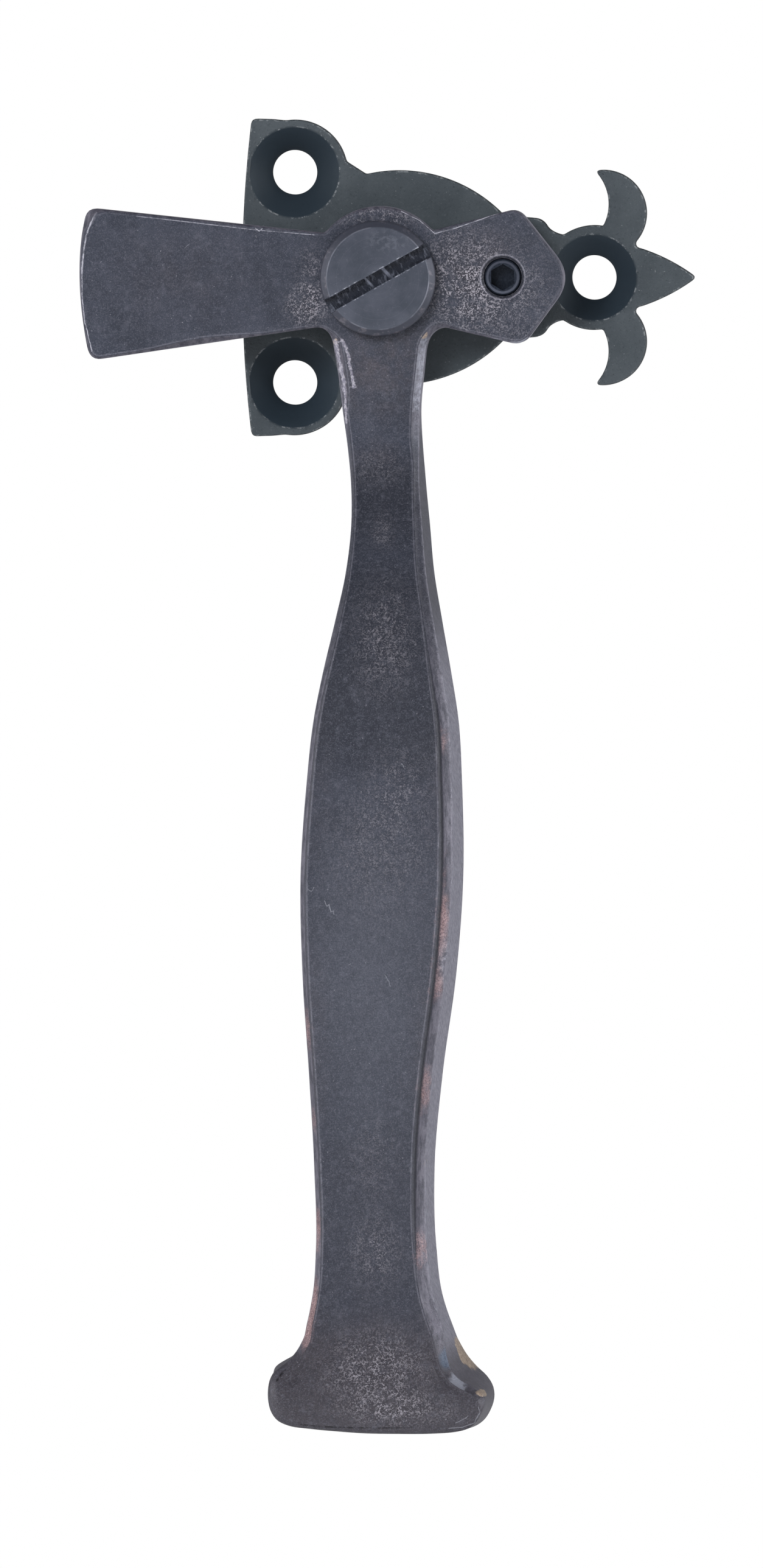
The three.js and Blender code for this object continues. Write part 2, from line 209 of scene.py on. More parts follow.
def fill(loops, spacing):
    """Even triangles inside the first loop and outside the others. Returns the added points and
    the triangles, whose indices count the loops' points first."""
    edge = np.vstack(loops)
    low, high = loops[0].min(0), loops[0].max(0)
    rows = np.arange(low[1], high[1], spacing * ROW_RATIO)
    grid = []
    for k, z in enumerate(rows):
        xs = np.arange(low[0] + (k % 2) * spacing / 2, high[0], spacing)
        grid.append(np.column_stack([xs, np.full(len(xs), z)]))
    grid = np.vstack(grid)
    grid = grid[inside(grid, loops[0])]
    for loop in loops[1:]:
        grid = grid[~inside(grid, loop)]
    gap = np.full(len(grid), np.inf)
    for start in range(0, len(edge), 200):
        part = edge[start : start + 200]
        gap = np.minimum(gap, np.linalg.norm(grid[:, None] - part[None], axis=2).min(1))
    grid = grid[gap > CLEARANCE * spacing]
    edges, first = [], 0
    for loop in loops:
        n = len(loop)
        edges += [(first + i, first + (i + 1) % n) for i in range(n)]
        first += n
    everything = np.vstack([edge, grid])
    result = geometry.delaunay_2d_cdt([Vector(p) for p in everything], edges, [], 0, 1e-7)
    source = [found[0] if found else -1 for found in result[3]]
    triangles = np.array([[source[v] for v in f] for f in result[2]])
    triangles = triangles[(triangles >= 0).all(1)]
    middles = everything[triangles].mean(1)
    kept = inside(middles, loops[0])
    for loop in loops[1:]:
        kept &= ~inside(middles, loop)
    return grid, triangles[kept]


class Slab:
    """A flat piece built up from an outline, edge rings, holes and filled faces, in X, Z and a
    height that runs towards the room. Every point carries named values for its material."""

    def __init__(self, keys):
        self.points, self.faces = [], []
        self.values = {key: [] for key in keys}

    def add(self, flat, height, **values):
        """Adds points and returns their indices."""
        first = sum(len(p) for p in self.points)
        height = np.broadcast_to(np.asarray(height, float), (len(flat),))
        self.points.append(np.column_stack([flat[:, 0], height, flat[:, 1]]))
        for key, kept in self.values.items():
            kept.append(np.broadcast_to(np.asarray(values.get(key, 0.0), float), (len(flat),)))
        return np.arange(first, first + len(flat))

    def wall(self, upper, lower):
        """Quads between two rings with the same number of points, facing out for an outline that
        runs counter-clockwise and lies nearer the room in its first ring."""
        a, b = upper, np.roll(upper, -1)
        c, d = np.roll(lower, -1), lower
        for quad in zip(a, d, c, b):
            self.faces.append([int(i) for i in quad])

    def cap(self, ends, height, spacing, to_room):
        """Fills between rings that are already in place, given as pairs of indices and points.
        height is the added points' height, or a function that gives it."""
        rings, loops = zip(*ends)
        grid, triangles = fill(loops, spacing)
        added = self.add(grid, height(grid) if callable(height) else height)
        index = np.concatenate([*rings, added])
        flat = np.vstack([*loops, grid])
        for tri in triangles:
            p = flat[tri]
            area = np.cross(p[1] - p[0], p[2] - p[0])
            order = tri if (area > 0) == to_room else tri[::-1]
            self.faces.append([int(index[i]) for i in order])

    def everything(self):
        points = np.vstack(self.points)
        return points, {key: np.concatenate(kept) for key, kept in self.values.items()}


def joined(rows, segments):
    """Faces between neighbouring rings of points; a row of one point is on the axis."""
    faces = []
    for low, high in zip(rows, rows[1:]):
        for i in range(segments):
            j = (i + 1) % segments
            if len(low) == 1:
                faces.append([low[0], high[j], high[i]])
            elif len(high) == 1:
                faces.append([low[i], low[j], high[0]])
            else:
                faces.append([low[i], low[j], high[j], high[i]])
    return faces


def turned(profile, segments=96):
    """Points and faces of a body turned about the Y axis. The profile's [radius, height] pairs run
    from the back to the front along its outside, starting and ending on the axis or closing on
    themselves; its last pair is left out when it closes."""
    points, rows = [], []
    for radius, height in profile:
        if radius < 1e-9:
            rows.append([len(points)])
            points.append((0, -height, 0))
            continue
        rows.append(list(range(len(points), len(points) + segments)))
        for x, z in circle((0, 0), radius, segments):
            points.append((x, -height, z))
    if len(rows[0]) > 1:
        rows.append(rows[0])
    return np.array(points, float), joined(rows, segments)


def rounded(profile, radius, closed=False):
    """A profile with its corners cut to small arcs of three points."""
    p = [np.array(q, float) for q in profile]
    count = len(p)
    out = []
    for i, corner in enumerate(p):
        if not closed and i in (0, count - 1):
            out.append(tuple(corner))
            continue
        before, after = p[i - 1] - corner, p[(i + 1) % count] - corner
        reach = min(radius, 0.45 * np.linalg.norm(before), 0.45 * np.linalg.norm(after))
        a = corner + before / np.linalg.norm(before) * reach
        b = corner + after / np.linalg.norm(after) * reach
        out += [tuple(a), tuple(0.25 * a + 0.5 * corner + 0.25 * b), tuple(b)]
    return out


def cut(piece, points, faces):
    """Cuts a closed shape out of a piece."""
    mesh = bpy.data.meshes.new("cutter")
    mesh.from_pydata((np.asarray(points) * MM).tolist(), [], faces)
    shape = bmesh.new()
    shape.from_mesh(mesh)
    bmesh.ops.recalc_face_normals(shape, faces=shape.faces)
    shape.to_mesh(mesh)
    shape.free()
    cutter = bpy.data.objects.new("cutter", mesh)
    bpy.context.scene.collection.objects.link(cutter)
    step = piece.modifiers.new("cut", "BOOLEAN")
    step.operation = "DIFFERENCE"
    step.solver = "EXACT"
    step.object = cutter
    bpy.context.view_layer.update()
    graph = bpy.context.evaluated_depsgraph_get()
    done = bpy.data.meshes.new_from_object(piece.evaluated_get(graph))
    piece.modifiers.remove(step)
    piece.data = done
    bpy.data.objects.remove(cutter)


# ---- Backplate

SIDE_HOLE = (-9.5, 11.54)
TAIL_HOLE = (23.38, 0.0)
HOLE_RADIUS = 2.44
CONE_RADIUS = 5.0
TAIL_CONE_RADIUS = 4.75
LOCK_HOLE_RADIUS = 1.95


def plate_upper_edge():
    """The plate's upper edge, from the middle of its left side round to the spear's point."""
    body, lobe = (1.93, -4.24), SIDE_HOLE
    leaf_in, leaf_out, spear = (19.9, 8.08), (24.38, 7.05), (22.15, -16.4)
    return [
        *arc((129.7, 0), 144.95, (-15.25, 0), (-14.26, 16.95), True),
        *bend((-14.22, 16.95), (-14.2, 17.42), (-13.7, 17.42)),
        (-11.9, 17.37),
        *arc(lobe, 5.78, (-10.5, 17.25), (-3.77, 12.76), True),
        (-1.6, 11.3),
        *arc(body, 16.0, (-1.6, 11.3), (13.67, 7.0), True),
        (17.0, 6.53),
        *bend((17.0, 6.53), (17.9, 6.4), (18.3, 5.55)),
        *bend((18.3, 5.55), (18.8, 4.95), (20.0, 4.67)),
        *arc(TAIL_HOLE, 5.75, (20.0, 4.67), (24.3, 5.68), True),
        *arc(leaf_in, 5.1, (24.38, 5.63), (23.75, 11.44)),
        (23.72, 11.75),
        *arc(leaf_out, 4.77, (24.05, 11.8), (27.93, 3.8), True),
        *bend((27.93, 3.8), (27.85, 3.3), (28.45, 3.18)),
        *arc(spear, 20.6, (28.45, 3.18), (34.3, 0.3), True),
        (34.42, 0.1),
    ]


def fixing_hole(slab, centre, cone, line_front, line_back):
    """The rings of a countersunk hole: a worn rim, the cone, a small land and the straight part."""
    depth = cone - HOLE_RADIUS
    rings = [
        (cone + 0.16, PLATE, 0.2, 0),
        (cone, PLATE - 0.05, 1.0, 0.4),
        (cone - 0.14, PLATE - 0.16, 0.2, 1),
        (HOLE_RADIUS + 0.66 * depth, PLATE - 0.34 * depth, 0, 1),
        (HOLE_RADIUS + 0.33 * depth, PLATE - 0.67 * depth, 0, 1),
        (HOLE_RADIUS + 0.10, PLATE - depth + 0.10, 0.0, 1),
        (HOLE_RADIUS, PLATE - depth - 0.08, 0.3, 1),
        (HOLE_RADIUS, 0.9, 0, 1),
        (HOLE_RADIUS, 0.12, 0, 1),
        (HOLE_RADIUS + 0.12, 0.0, 0.6, 0.5),
    ]
    hole(slab, centre, rings, HOLE_SEGMENTS, line_front, line_back)


def hole(slab, centre, rings, count, line_front, line_back):
    """A hole's walls, ring by ring. Its end rings join the front's and the back's edges."""
    made = []
    for radius, height, edge, dark in rings:
        loop = circle(centre, radius, count)
        made.append(slab.add(loop, height, edge=edge, hole=dark))
    for upper, lower in zip(made, made[1:]):
        slab.wall(lower, upper)
    line_front.append((made[0], circle(centre, rings[0][0], count)))
    line_back.append((made[-1], circle(centre, rings[-1][0], count)))


def build_backplate():
    upper = plate_upper_edge()
    lower = [(x, -z) for x, z in reversed(upper)]
    line = closed_outline(upper + lower, 0.25, 0.16)
    slab = Slab(["edge", "hole", "side"])
    rings = [
        (0.42, PLATE, 0.0, 0),
        (0.24, PLATE - 0.01, 0.35, 0),
        (0.10, PLATE - 0.06, 1.0, 0),
        (0.03, PLATE - 0.18, 0.8, 0.6),
        (0.0, PLATE - 0.42, 0.1, 1),
        (0.0, 0.5 * PLATE, 0.0, 1),
        (0.0, 0.35, 0.0, 1),
        (0.04, 0.12, 0.6, 0.6),
        (0.16, 0.0, 0.5, 0),
    ]
    lines = [inset(line, ring[0]) for ring in rings]
    made = [slab.add(l, r[1], edge=r[2], side=r[3]) for l, r in zip(lines, rings)]
    for above, below in zip(made, made[1:]):
        slab.wall(above, below)
    front = [(made[0], lines[0])]
    back = [(made[-1], lines[-1])]
    low_hole = (SIDE_HOLE[0], -SIDE_HOLE[1])
    cones = ((SIDE_HOLE, CONE_RADIUS), (low_hole, CONE_RADIUS), (TAIL_HOLE, TAIL_CONE_RADIUS))
    for centre, cone in cones:
        fixing_hole(slab, centre, cone, front, back)
    lock = [
        (LOCK_HOLE_RADIUS + 0.15, PLATE, 0.5, 0),
        (LOCK_HOLE_RADIUS, PLATE - 0.15, 0.5, 1),
        (LOCK_HOLE_RADIUS, 0.15, 0, 1),
        (LOCK_HOLE_RADIUS + 0.15, 0.0, 0.5, 0),
    ]
    hole(slab, (LOCK_X, LOCK_Z), lock, 48, front, back)
    slab.cap(front, PLATE, 0.9, True)
    slab.cap(back, 0.0, 1.1, False)
    points, values = slab.everything()
    points[:, 1] *= -1
    waves = np.array([noise.noise(Vector(p) * 0.16) for p in points])
    fine = np.array([noise.noise(Vector(p) * 0.9 + Vector((7, 3, 1))) for p in points])
    on_front = ease(-points[:, 1], PLATE - 0.5, PLATE - 0.05) * (1 - values["hole"])
    points[:, 1] += on_front * (0.035 + 0.03 * waves + 0.008 * fine)
    return make_object(
        "backplate_cut", points, slab.faces, "plate", "plate_steel", ["backplate"], values, 26
    )


# ---- Lever

# Cross-sections down the neck and grip, as in the design: height, middle in X, depth, half width,
# half thickness and twist in degrees.
STATION_KEYS = ("z", "x", "depth", "half", "thick", "twist")
STATION_ROWS = [
    (-9, 0.25, 11.5, 4.85, 3, 0), (-14.3, 0.33, 11.5, 4.25, 2.95, 0.5),
    (-18.5, 0.72, 11.9, 3.93, 2.9, 4), (-22.5, 1.1, 13.3, 3.78, 2.95, 7.5),
    (-27, 1.42, 16.1, 3.92, 3.1, 9), (-32.2, 1.45, 19.7, 4.45, 3.35, 9),
    (-37.5, 1.37, 22.7, 5.48, 3.6, 9), (-42.8, 1.27, 24.6, 6.57, 3.85, 9),
    (-48.2, 1.18, 25.4, 7.5, 4.1, 9), (-55, 1.01, 25.9, 8.03, 4.35, 9),
    (-65, 0.76, 26.2, 8.41, 4.5, 9), (-76, 0.47, 26.1, 7.92, 4.45, 9),
    (-87, 0.07, 25.7, 6.85, 4.15, 9), (-97, -0.1, 25.2, 6.18, 3.85, 9),
    (-106, 0.09, 24.9, 6.18, 3.9, 9), (-111.5, 0.25, 24.9, 6.75, 4.3, 8),
    (-115.5, 0.5, 24.9, 8, 4.9, 7), (-118.3, 0.6, 24.9, 9.7, 5.6, 5),
    (-120.5, 0.65, 24.9, 11.5, 6.2, 4), (-122.6, 0.7, 24.9, 12.05, 6.35, 3.5),
    (-126.3, 0.7, 24.9, 12.05, 6.2, 3),
]
STATIONS = dict(zip(STATION_KEYS, np.array(STATION_ROWS[::-1], float).T))


def down_grip(key, z, above):
    """One value of the stations down the grip, and the value above for the flat cross-piece."""
    return np.where(np.asarray(z) > GRIP_ROOT, above, through(key, np.minimum(z, GRIP_ROOT)))


def grip_edge(side, heights):
    x = through("x", heights) + side * through("half", heights)
    return list(zip(x, heights))


def soft_line(points):
    """A smooth line through a few points."""
    p = np.array(points, float)
    run = np.concatenate([[0], np.cumsum(np.hypot(*np.diff(p, axis=0).T))])
    slope = np.gradient(p, run, axis=0)
    out = []
    for i in range(len(p) - 1):
        gap = run[i + 1] - run[i]
        for t in np.linspace(0, 1, 9)[:-1]:
            out.append(hermite(t, gap, p[i], slope[i], p[i + 1], slope[i + 1]))
    return [tuple(q) for q in out] + [tuple(p[-1])]


def foot_edge():
    """Round the flared foot, from its left shoulder to its right one."""
    left = [(-7.3, -115.6), (-8.3, -117.3), (-9.7, -118.65), (-10.65, -119.35), (-11.15, -120.2)]
    heel = [(-11.38, -121.4), (-11.35, -122.7), (-11.05, -123.85), (-10.4, -124.7), (-9.4, -125.2)]
    bottom = [(-6.6, -125.65), (-3.6, -125.92), (-1.0, -126.1), (2.5, -126.15), (7.0, -126.1)]
    toe = [(9.2, -125.92), (10.5, -125.6), (11.5, -124.85), (12.2, -123.7), (12.58, -122.4)]
    right = [(12.45, -121.2), (11.8, -120.1), (10.65, -119.0), (9.55, -117.7), (8.5, -115.9)]
    return soft_line(left + heel + bottom + toe + right)


def lever_outline():
    """The lever laid flat, before the grip is cranked and twisted."""
    down = np.linspace(-10.6, -114.0, 240)
    return [
        (-5.9, 4.95),
        (-30.9, 7.62),
        *bend((-30.9, 7.62), (-31.95, 7.75), (-32.2, 6.6)),
        *bend((-32.2, 6.6), (-33.45, 0.5), (-31.95, -7.4)),
        *bend((-31.95, -7.4), (-31.7, -9.0), (-30.5, -8.86)),
        (-6.9, -5.4),
        *bend((-6.9, -5.4), (-5.2, -5.15), (-4.9, -7.6)),
        *grip_edge(-1, down),
        *foot_edge(),
        *reversed(grip_edge(1, down)),
        (5.2, -7.9),
        *bend((5.2, -7.9), (5.5, -5.55), (7.4, -5.38)),
        (14.6, -7.08),
        *bend((14.6, -7.08), (15.7, -7.35), (16.5, -6.5)),
        (19.35, -2.6),
        *bend((19.35, -2.6), (21.4, 0.0), (19.35, 2.6)),
        (16.1, 6.72),
        *bend((16.1, 6.72), (15.3, 7.72), (14.2, 7.39)),
        *arc((0.1, 0.4), 7.5, (5.85, 5.2), (-5.9, 4.95)),
    ]


def spot(x, z, at, radius):
    """1 at a place, falling smoothly to 0 at a radius. radius may be a pair, across and along."""
    across, along = radius if isinstance(radius, tuple) else (radius, radius)
    return 1 - ease(np.hypot((x - at[0]) / across, (z - at[1]) / along), 0.0, 1.0)


def half_thickness(z):
    return down_grip("thick", z, 0.5 * (LEVER_FRONT - LEVER_BACK))


def from_middle(x, z):
    """Signed distance across the grip from its own middle."""
    return x - down_grip("x", z, HUB_MIDDLE)


def chamfer_width(x, z):
    """Narrow round the flat cross-piece, wider down the neck, widest on the grip's right."""
    neck = ease(-z, 5.4, 7.2) * (1 - ease(np.abs(x - 0.3), 6.6, 8.2))
    grip = np.maximum(neck, ease(-z, 11, 13))
    right = ease(from_middle(x, z), -1.5, 1.5)
    low = ease(-z, 18, 34)
    foot = ease(-z, 114, 119)
    flat = 0.24 + 0.3 * spot(x, z, (0.1, 8), (8, 5)) + 0.8 * spot(x, z, (-32.6, 7.4), 3.2)
    flat += 0.45 * spot(x, z, (-19, -7.4), (8, 3)) + 0.12 * spot(x, z, (-22, 7), (14, 3))
    flat += 0.62 * spot(x, z, (6.2, -5.2), 3.2)
    narrow = ease(-z, 12, 15) * (1 - ease(-z, 26, 40)) * (1 - right)
    narrow_right = ease(-z, 17, 21) * (1 - ease(-z, 34, 46)) * right
    width = flat + grip * (0.9 - 0.12 * low + low * right * 0.5 - flat)
    width -= grip * (0.45 * narrow + 0.4 * narrow_right)
    heel = 1.5 - 0.35 * right
    bottom = ease(-z, 124.0, 125.2)
    width += foot * (heel - width)
    corner = spot(x, z, (12.3, -124.6), 4.0)
    return width - bottom * foot * 0.55 - 0.5 * corner * foot


def grooved(x, z):
    """How strongly a beaded line runs along the grip's front edges."""
    right = ease(from_middle(x, z), -1.5, 1.5)
    return ease(-z, 34, 50) * (1 - ease(-z, 100, 112)) * (0.55 + 0.45 * right)


def crank(points):
    """Bends and twists the flat blank: X, height above its middle, Z to the row frame."""
    x, height, z = points.T
    centre = down_grip("x", z, HUB_MIDDLE)
    turn = -np.radians(down_grip("twist", z, 0.0))
    depth = down_grip("depth", z, LEVER_MIDDLE)
    u, v, cos, sin = x - centre, -height, np.cos(turn), np.sin(turn)
    return np.column_stack([centre + u * cos - v * sin, -depth + u * sin + v * cos, z])


def edge_profile(width, groove, roundness):
    """The rings over a front edge, from the flat face to the side. Each is how far in it lies, how
    far below the face, how worn it is, and how much of it is chamfer, groove and side."""
    scale = np.minimum(1.0, width)
    lip, cut_ = 0.05 * groove * scale, 0.34 * groove * scale
    start = 0.46 * groove * scale
    flat = width - start
    chamfer = [
        (width + 0.9, 0 * width, 0, 0, 0, 0),
        (width + 0.42, 0 * width, 0, 0, 0, 0),
        (width + 0.12, -lip, 0.5, 0, 0, 0),
        (width - 0.04 * scale, 0.2 * cut_ + 0.02 * scale, 0.15, 0.2, 0.5, 0),
        (width - 0.5 * start - 0.03 * scale, 0.9 * cut_ + 0.05 * scale, 0, 0.3, 1, 0),
        (flat - 0.03 * scale, cut_ + 0.06 * scale, 0.35, 1, 0.2, 0),
        (0.5 * flat, 0.5 * (cut_ + width), 0, 1, 0, 0),
        (0.09 * scale, width - 0.09 * scale, 0.45, 1, 0, 0),
        (0.02 * scale, width + 0.04 * scale, 1, 0.3, 0, 0.3),
        (0 * width, width + 0.2 * scale, 0.25, 0, 0, 1),
    ]
    angles = np.radians([0, 0, 12, 24, 36, 48, 60, 72, 82, 90])
    rings = []
    for (inset_, drop, worn, bevel, groove_, side), angle in zip(chamfer, angles):
        round_in, round_drop = width * (1 - np.sin(angle)), width * (1 - np.cos(angle))
        if angle > 0:
            inset_ = inset_ + roundness * (round_in - inset_)
            drop = drop + roundness * (round_drop - drop)
        keep = 1 - roundness
        worn = worn * (1 - 0.35 * roundness)
        rings.append((inset_, drop, worn, bevel, groove_ * keep * groove, side))
    return rings


def lever_rings(slab, line):
    """Rings of points from the front face's edge over the chamfers and side to the back face's."""
    x, z = line.T
    width = chamfer_width(x, z)
    thick = half_thickness(z)
    groove = grooved(x, z)
    foot_left = ease(-z, 115, 119) * (1 - ease(x, -2, 6))
    flat = (1 - ease(-z, 4, 8)) * (1 - spot(x, z, (-32.6, 7.4), 3.2))
    corner = spot(x, z, (12.3, -125.0), 4.5)
    roundness = np.maximum.reduce([foot_left, 0.7 * flat, corner, 0.7 * ease(-z, 124.5, 125.5)])
    rings = []
    for way, depth in ((1, 1.0), (-1, 0.75)):
        profile = edge_profile(width * depth, groove if way > 0 else 0 * groove, roundness)
        part = []
        for reach, drop, worn, bevel, cut_, side in profile:
            part.append((inset(line, reach), way * (thick - drop), worn, bevel, cut_, side))
        rings.append(part)
    reach = thick - width - 0.4
    sides = [(line, share * reach, 0, 0, 0, 1) for share in (0.6, 0.2, -0.2, -0.6)]
    every = rings[0] + sides + rings[1][::-1]
    made = [
        slab.add(ring, height, edge=worn, bevel=bevel, groove=cut_, side=side)
        for ring, height, worn, bevel, cut_, side in every
    ]
    for above, below in zip(made, made[1:]):
        slab.wall(above, below)
    return (made[0], every[0][0]), (made[-1], every[-1][0])


def lever_bore(slab, front, back):
    half = (LEVER_FRONT - LEVER_BACK) / 2
    rings = [
        (5.95, half, 0.3, 0),
        (5.8, half - 0.1, 0.6, 0),
        (RECESS_RADIUS, half - 0.25, 0, 1),
        (RECESS_RADIUS, half - RECESS_DEPTH, 0, 1),
        (4.2, half - RECESS_DEPTH, 0, 1),
        (LEVER_BORE, half - 1.0, 0, 1),
        (LEVER_BORE, -half + 0.15, 0, 1),
        (4.25, -half, 0.3, 0),
    ]
    hole(slab, (0, 0), rings, HOLE_SEGMENTS, front, back)


def lock_bore(slab, front, back):
    """A tapped hole with a small countersink; its first two threads show from the front."""
    half = (LEVER_FRONT - LEVER_BACK) / 2
    rings = [(2.6, half, 0.1, 0), (2.46, half - 0.04, 0.7, 0), (2.31, half - 0.12, 0.3, 0.4)]
    rings += [(2.24, half - 0.4, 0.1, 0.9)]
    for turn in range(2):
        top = half - 0.5 - 0.4 * turn
        rings += [(2.09, top, 0.3, 0.8), (2.09, top - 0.06, 0.1, 0.9), (2.4, top - 0.2, 0, 1)]
    rings += [(2.5, half - 1.3, 0, 1), (2.5, -half + 0.3, 0, 1), (2.75, -half, 0.4, 0)]
    hole(slab, (LOCK_X, LOCK_Z), rings, 64, front, back)


def forged(points):
    """Small waves and hammer marks of the forging, as a height on the faces."""
    broad = np.array([noise.noise(Vector(p) * 0.11) for p in points])
    dents = np.array([noise.noise(Vector((p[0] * 0.35, p[1] * 0.35, p[2] * 0.2))) for p in points])
    small = np.array([noise.noise(Vector(p) * 1.1 + Vector((11, 5, 2))) for p in points])
    foot = ease(-points[:, 2], 112, 119)
    return 0.05 * broad + (0.03 + 0.09 * foot) * dents + 0.010 * small


def drafted(points):
    """The foot's sides lean: its front is smaller than its back at both shoulders, and a thin
    flange stands out from the back of the left one."""
    x, height, z = points.T
    thick = half_thickness(z)
    share = ease(height / thick, -0.9, 1.0)
    right = spot(x, z, (11.2, -118.6), (6.5, 5.0)) * share * (1 - ease(-z, 120.5, 123.5))
    back_left = spot(x, z, (-10.0, -118.8), (3.2, 2.6)) * (1 - ease(height / thick, -0.15, 0.35))
    moved = points.copy()
    moved[:, 0] += -1.35 * right - 0.75 * back_left
    moved[:, 2] += -0.95 * right + 0.15 * back_left
    return moved


# Patches of the lever's finish as (strength, (x, z), reach); a reach may be a pair, across and
# along.
# The fleck patches are real scale, placed where the lamps' sheen falls on it, so partly a painted
# sheen.
FLECK_SHEEN_SPOTS = [
    (1.1, (-7.8, -3.0), (3.6, 3.2)), (0.55, (-7.3, 0.5), (2.6, 4.6)),
    (0.85, (8.8, 0.2), (6.5, 8.0)), (0.7, (12.8, -1.5), (9, 8.5)), (0.3, (0.3, -20.6), (4.5, 3.4)),
    (0.45, (1.1, -27.6), (1.9, 3.0)), (0.5, (1.6, -39.5), (5.6, 9.5)),
    (0.25, (3.6, -55), (5.5, 7)), (0.30, (1.5, -62), (9, 12)), (0.2, (0.5, -96), (5, 8)),
    (0.42, (0.6, -106.5), (4.5, 6.5)), (0.82, (0.8, -119.3), (9.0, 6.4)),
    (0.6, (3.0, -123.6), (9.5, 2.6)),
]
WARM_SPOTS = [
    (0.8, (0.3, -9.5), (9, 9)), (0.55, (0, -19.8), (4, 3.6)), (0.5, (11.5, 2.5), (6, 5)),
    (0.25, (-22, 0), (14, 9)), (0.6, (0, -121), (14, 9)), (0.4, (0.5, -112), (7, 9)),
]
COPPER_RIGHT = [
    (0.9, (7.0, -70.0), (3, 7.5)), (0.95, (6, -77.0), (3.2, 3.6)), (0.75, (5, -88), (3, 5.5)),
    (0.4, (7, -63.5), (3, 5)), (0.45, (5, -106), (3, 4)), (0.35, (7.5, -50.5), (3, 4)),
    (0.4, (4.6, -35), (1.5, 2.2)),
]
COPPER_LEFT = [
    (0.55, (-7.4, -82), (3, 4)), (0.5, (-7, -92), (3, 3)), (0.8, (-6.6, -104), (2.2, 5)),
    (0.9, (-6.8, -113), (2.4, 7)),
]
STRAW_FRONT = [
    (1.1, (12.45, -121.45), 0.95), (1.2, (4.9, -6.1), 0.9), (0.9, (-4.7, -7.0), 0.7),
    (0.4, (7.8, -114.5), (1.2, 1.4)),
]
STRAW_RIGHT = [(0.5, (6.2, -96), (0.8, 3)), (0.6, (6.4, -77.8), (1.6, 2))]


def spots(x, z, rows):
    return sum(strength * spot(x, z, at, reach) for strength, at, reach in rows)


def lever_marks(points, values):
    """Where the lever's finish changes, as named values from 0 to 1 for its material."""
    x, height, z = points.T
    off = from_middle(x, z)
    half = down_grip("half", z, 4.85)
    margin = ease(np.abs(off) / half, 0.45, 0.95) * ease(-z, 25, 45)
    # The fleck crusts: real scale, partly a painted sheen where light catches it.
    scale = spots(x, z, FLECK_SHEEN_SPOTS) + 0.7 * spot(x, z, (0, 7.2), (9, 2.4)) * ease(z, 4, 6)
    warm = spots(x, z, WARM_SPOTS) + 0.5 * margin * (0.6 + 0.4 * np.sin(z * 0.21))
    # Painted shade: darker over the neck's bend and down the cranked slope below it.
    bent = ease(-z, 17.5, 22) * (1 - 0.75 * ease(-z, 24, 34)) * ease(-z, 0, 5)
    bent = np.maximum(bent, 0.9 * ease(-z, 26, 34) * (1 - ease(-z, 48, 60)))
    right = off > 0
    copper = np.where(right, spots(x, z, COPPER_RIGHT), spots(x, z, COPPER_LEFT))
    back, fore = 1 - ease(height, -1.6, 0.2), ease(height, 1.2, 2.0)
    straw = 1.15 * back * spot(x, z, (10.2, -116.8), (3.4, 4.2))
    straw += fore * (spots(x, z, STRAW_FRONT) + right * spots(x, z, STRAW_RIGHT))
    steel = 0.95 * spot(x, z, (10.6, -119.7), (2.4, 2.8)) * right * fore
    steel = np.maximum(steel, 0.68 * right * ease(-z, 5.5, 6.8) * (1 - ease(-z, 12, 22)))
    steel = np.maximum(steel, 0.6 * right * spot(x, z, (8.0, -73.5), (5.0, 11.0)))
    bare = 0.25 + 0.75 * np.maximum(1 - ease(-z, 14, 18), ease(-z, 34, 46))
    bare -= 0.75 * ease(-z, 115, 118)
    blue = spot(x, z, (9.1, -117.3), (1.7, 2.0)) * right
    shares = dict(warm=warm, copper=copper, straw=straw, blue=blue, steel=steel, bare=bare)
    values.update({key: np.clip(share, 0, 1) for key, share in shares.items()})
    values.update(
        scale=np.clip(scale, 0, 1.2),
        bent=bent,
        palm=spot(x, z, (0.5, -76), (13, 26)),
        lower=ease(-z, 92, 98) * (1 - ease(-z, 108, 116)),
        foot=ease(-z, 111, 118),
        front=ease(height, -1.0, 1.2),
    )


def build_lever():
    line = closed_outline(lever_outline(), 0.4, 0.26)
    slab = Slab(["edge", "bevel", "groove", "side", "hole"])
    front_ring, back_ring = lever_rings(slab, line)
    front, back = [front_ring], [back_ring]
    lever_bore(slab, front, back)
    lock_bore(slab, front, back)
    slab.cap(front, lambda g: half_thickness(g[:, 1]), 0.65, True)
    slab.cap(back, lambda g: -half_thickness(g[:, 1]), 1.0, False)
    points, values = slab.everything()
    lever_marks(points, values)
    away = ease(np.hypot(points[:, 0], points[:, 2]), 6.6, 8.5)
    away *= ease(np.hypot(points[:, 0] - LOCK_X, points[:, 2] - LOCK_Z), 2.8, 4.0)
    worked = forged(points) * away
    flatness = np.sign(points[:, 1]) * (1 - values["side"])
    points[:, 1] += (worked - 0.07 * away) * flatness
    points = crank(drafted(points))
    return make_object(
        "lever_forging", points, slab.faces, "lever", "lever_steel", ["lever"], values
    )


# ---- Pivot and screws

SLOT_WIDTH = 1.5
SLOT_DEPTH = 1.3
SLOT_ANGLE = math.radians(29.3)


def box_points(size, angle, centre):
    """The corners and faces of a box turned about the Y axis."""
    corners = []
    for dx, dy, dz in np.ndindex(2, 2, 2):
        x, y, z = ((d - 0.5) * s for d, s in zip((dx, dy, dz), size))
        corners.append(
            (
                centre[0] + x * math.cos(angle) - z * math.sin(angle),
                centre[1] + y,
                centre[2] + x * math.sin(angle) + z * math.cos(angle),
            )
        )
    faces = [[0, 1, 3, 2], [4, 6, 7, 5], [0, 4, 5, 1], [2, 3, 7, 6], [0, 2, 6, 4], [1, 5, 7, 3]]
    return corners, faces


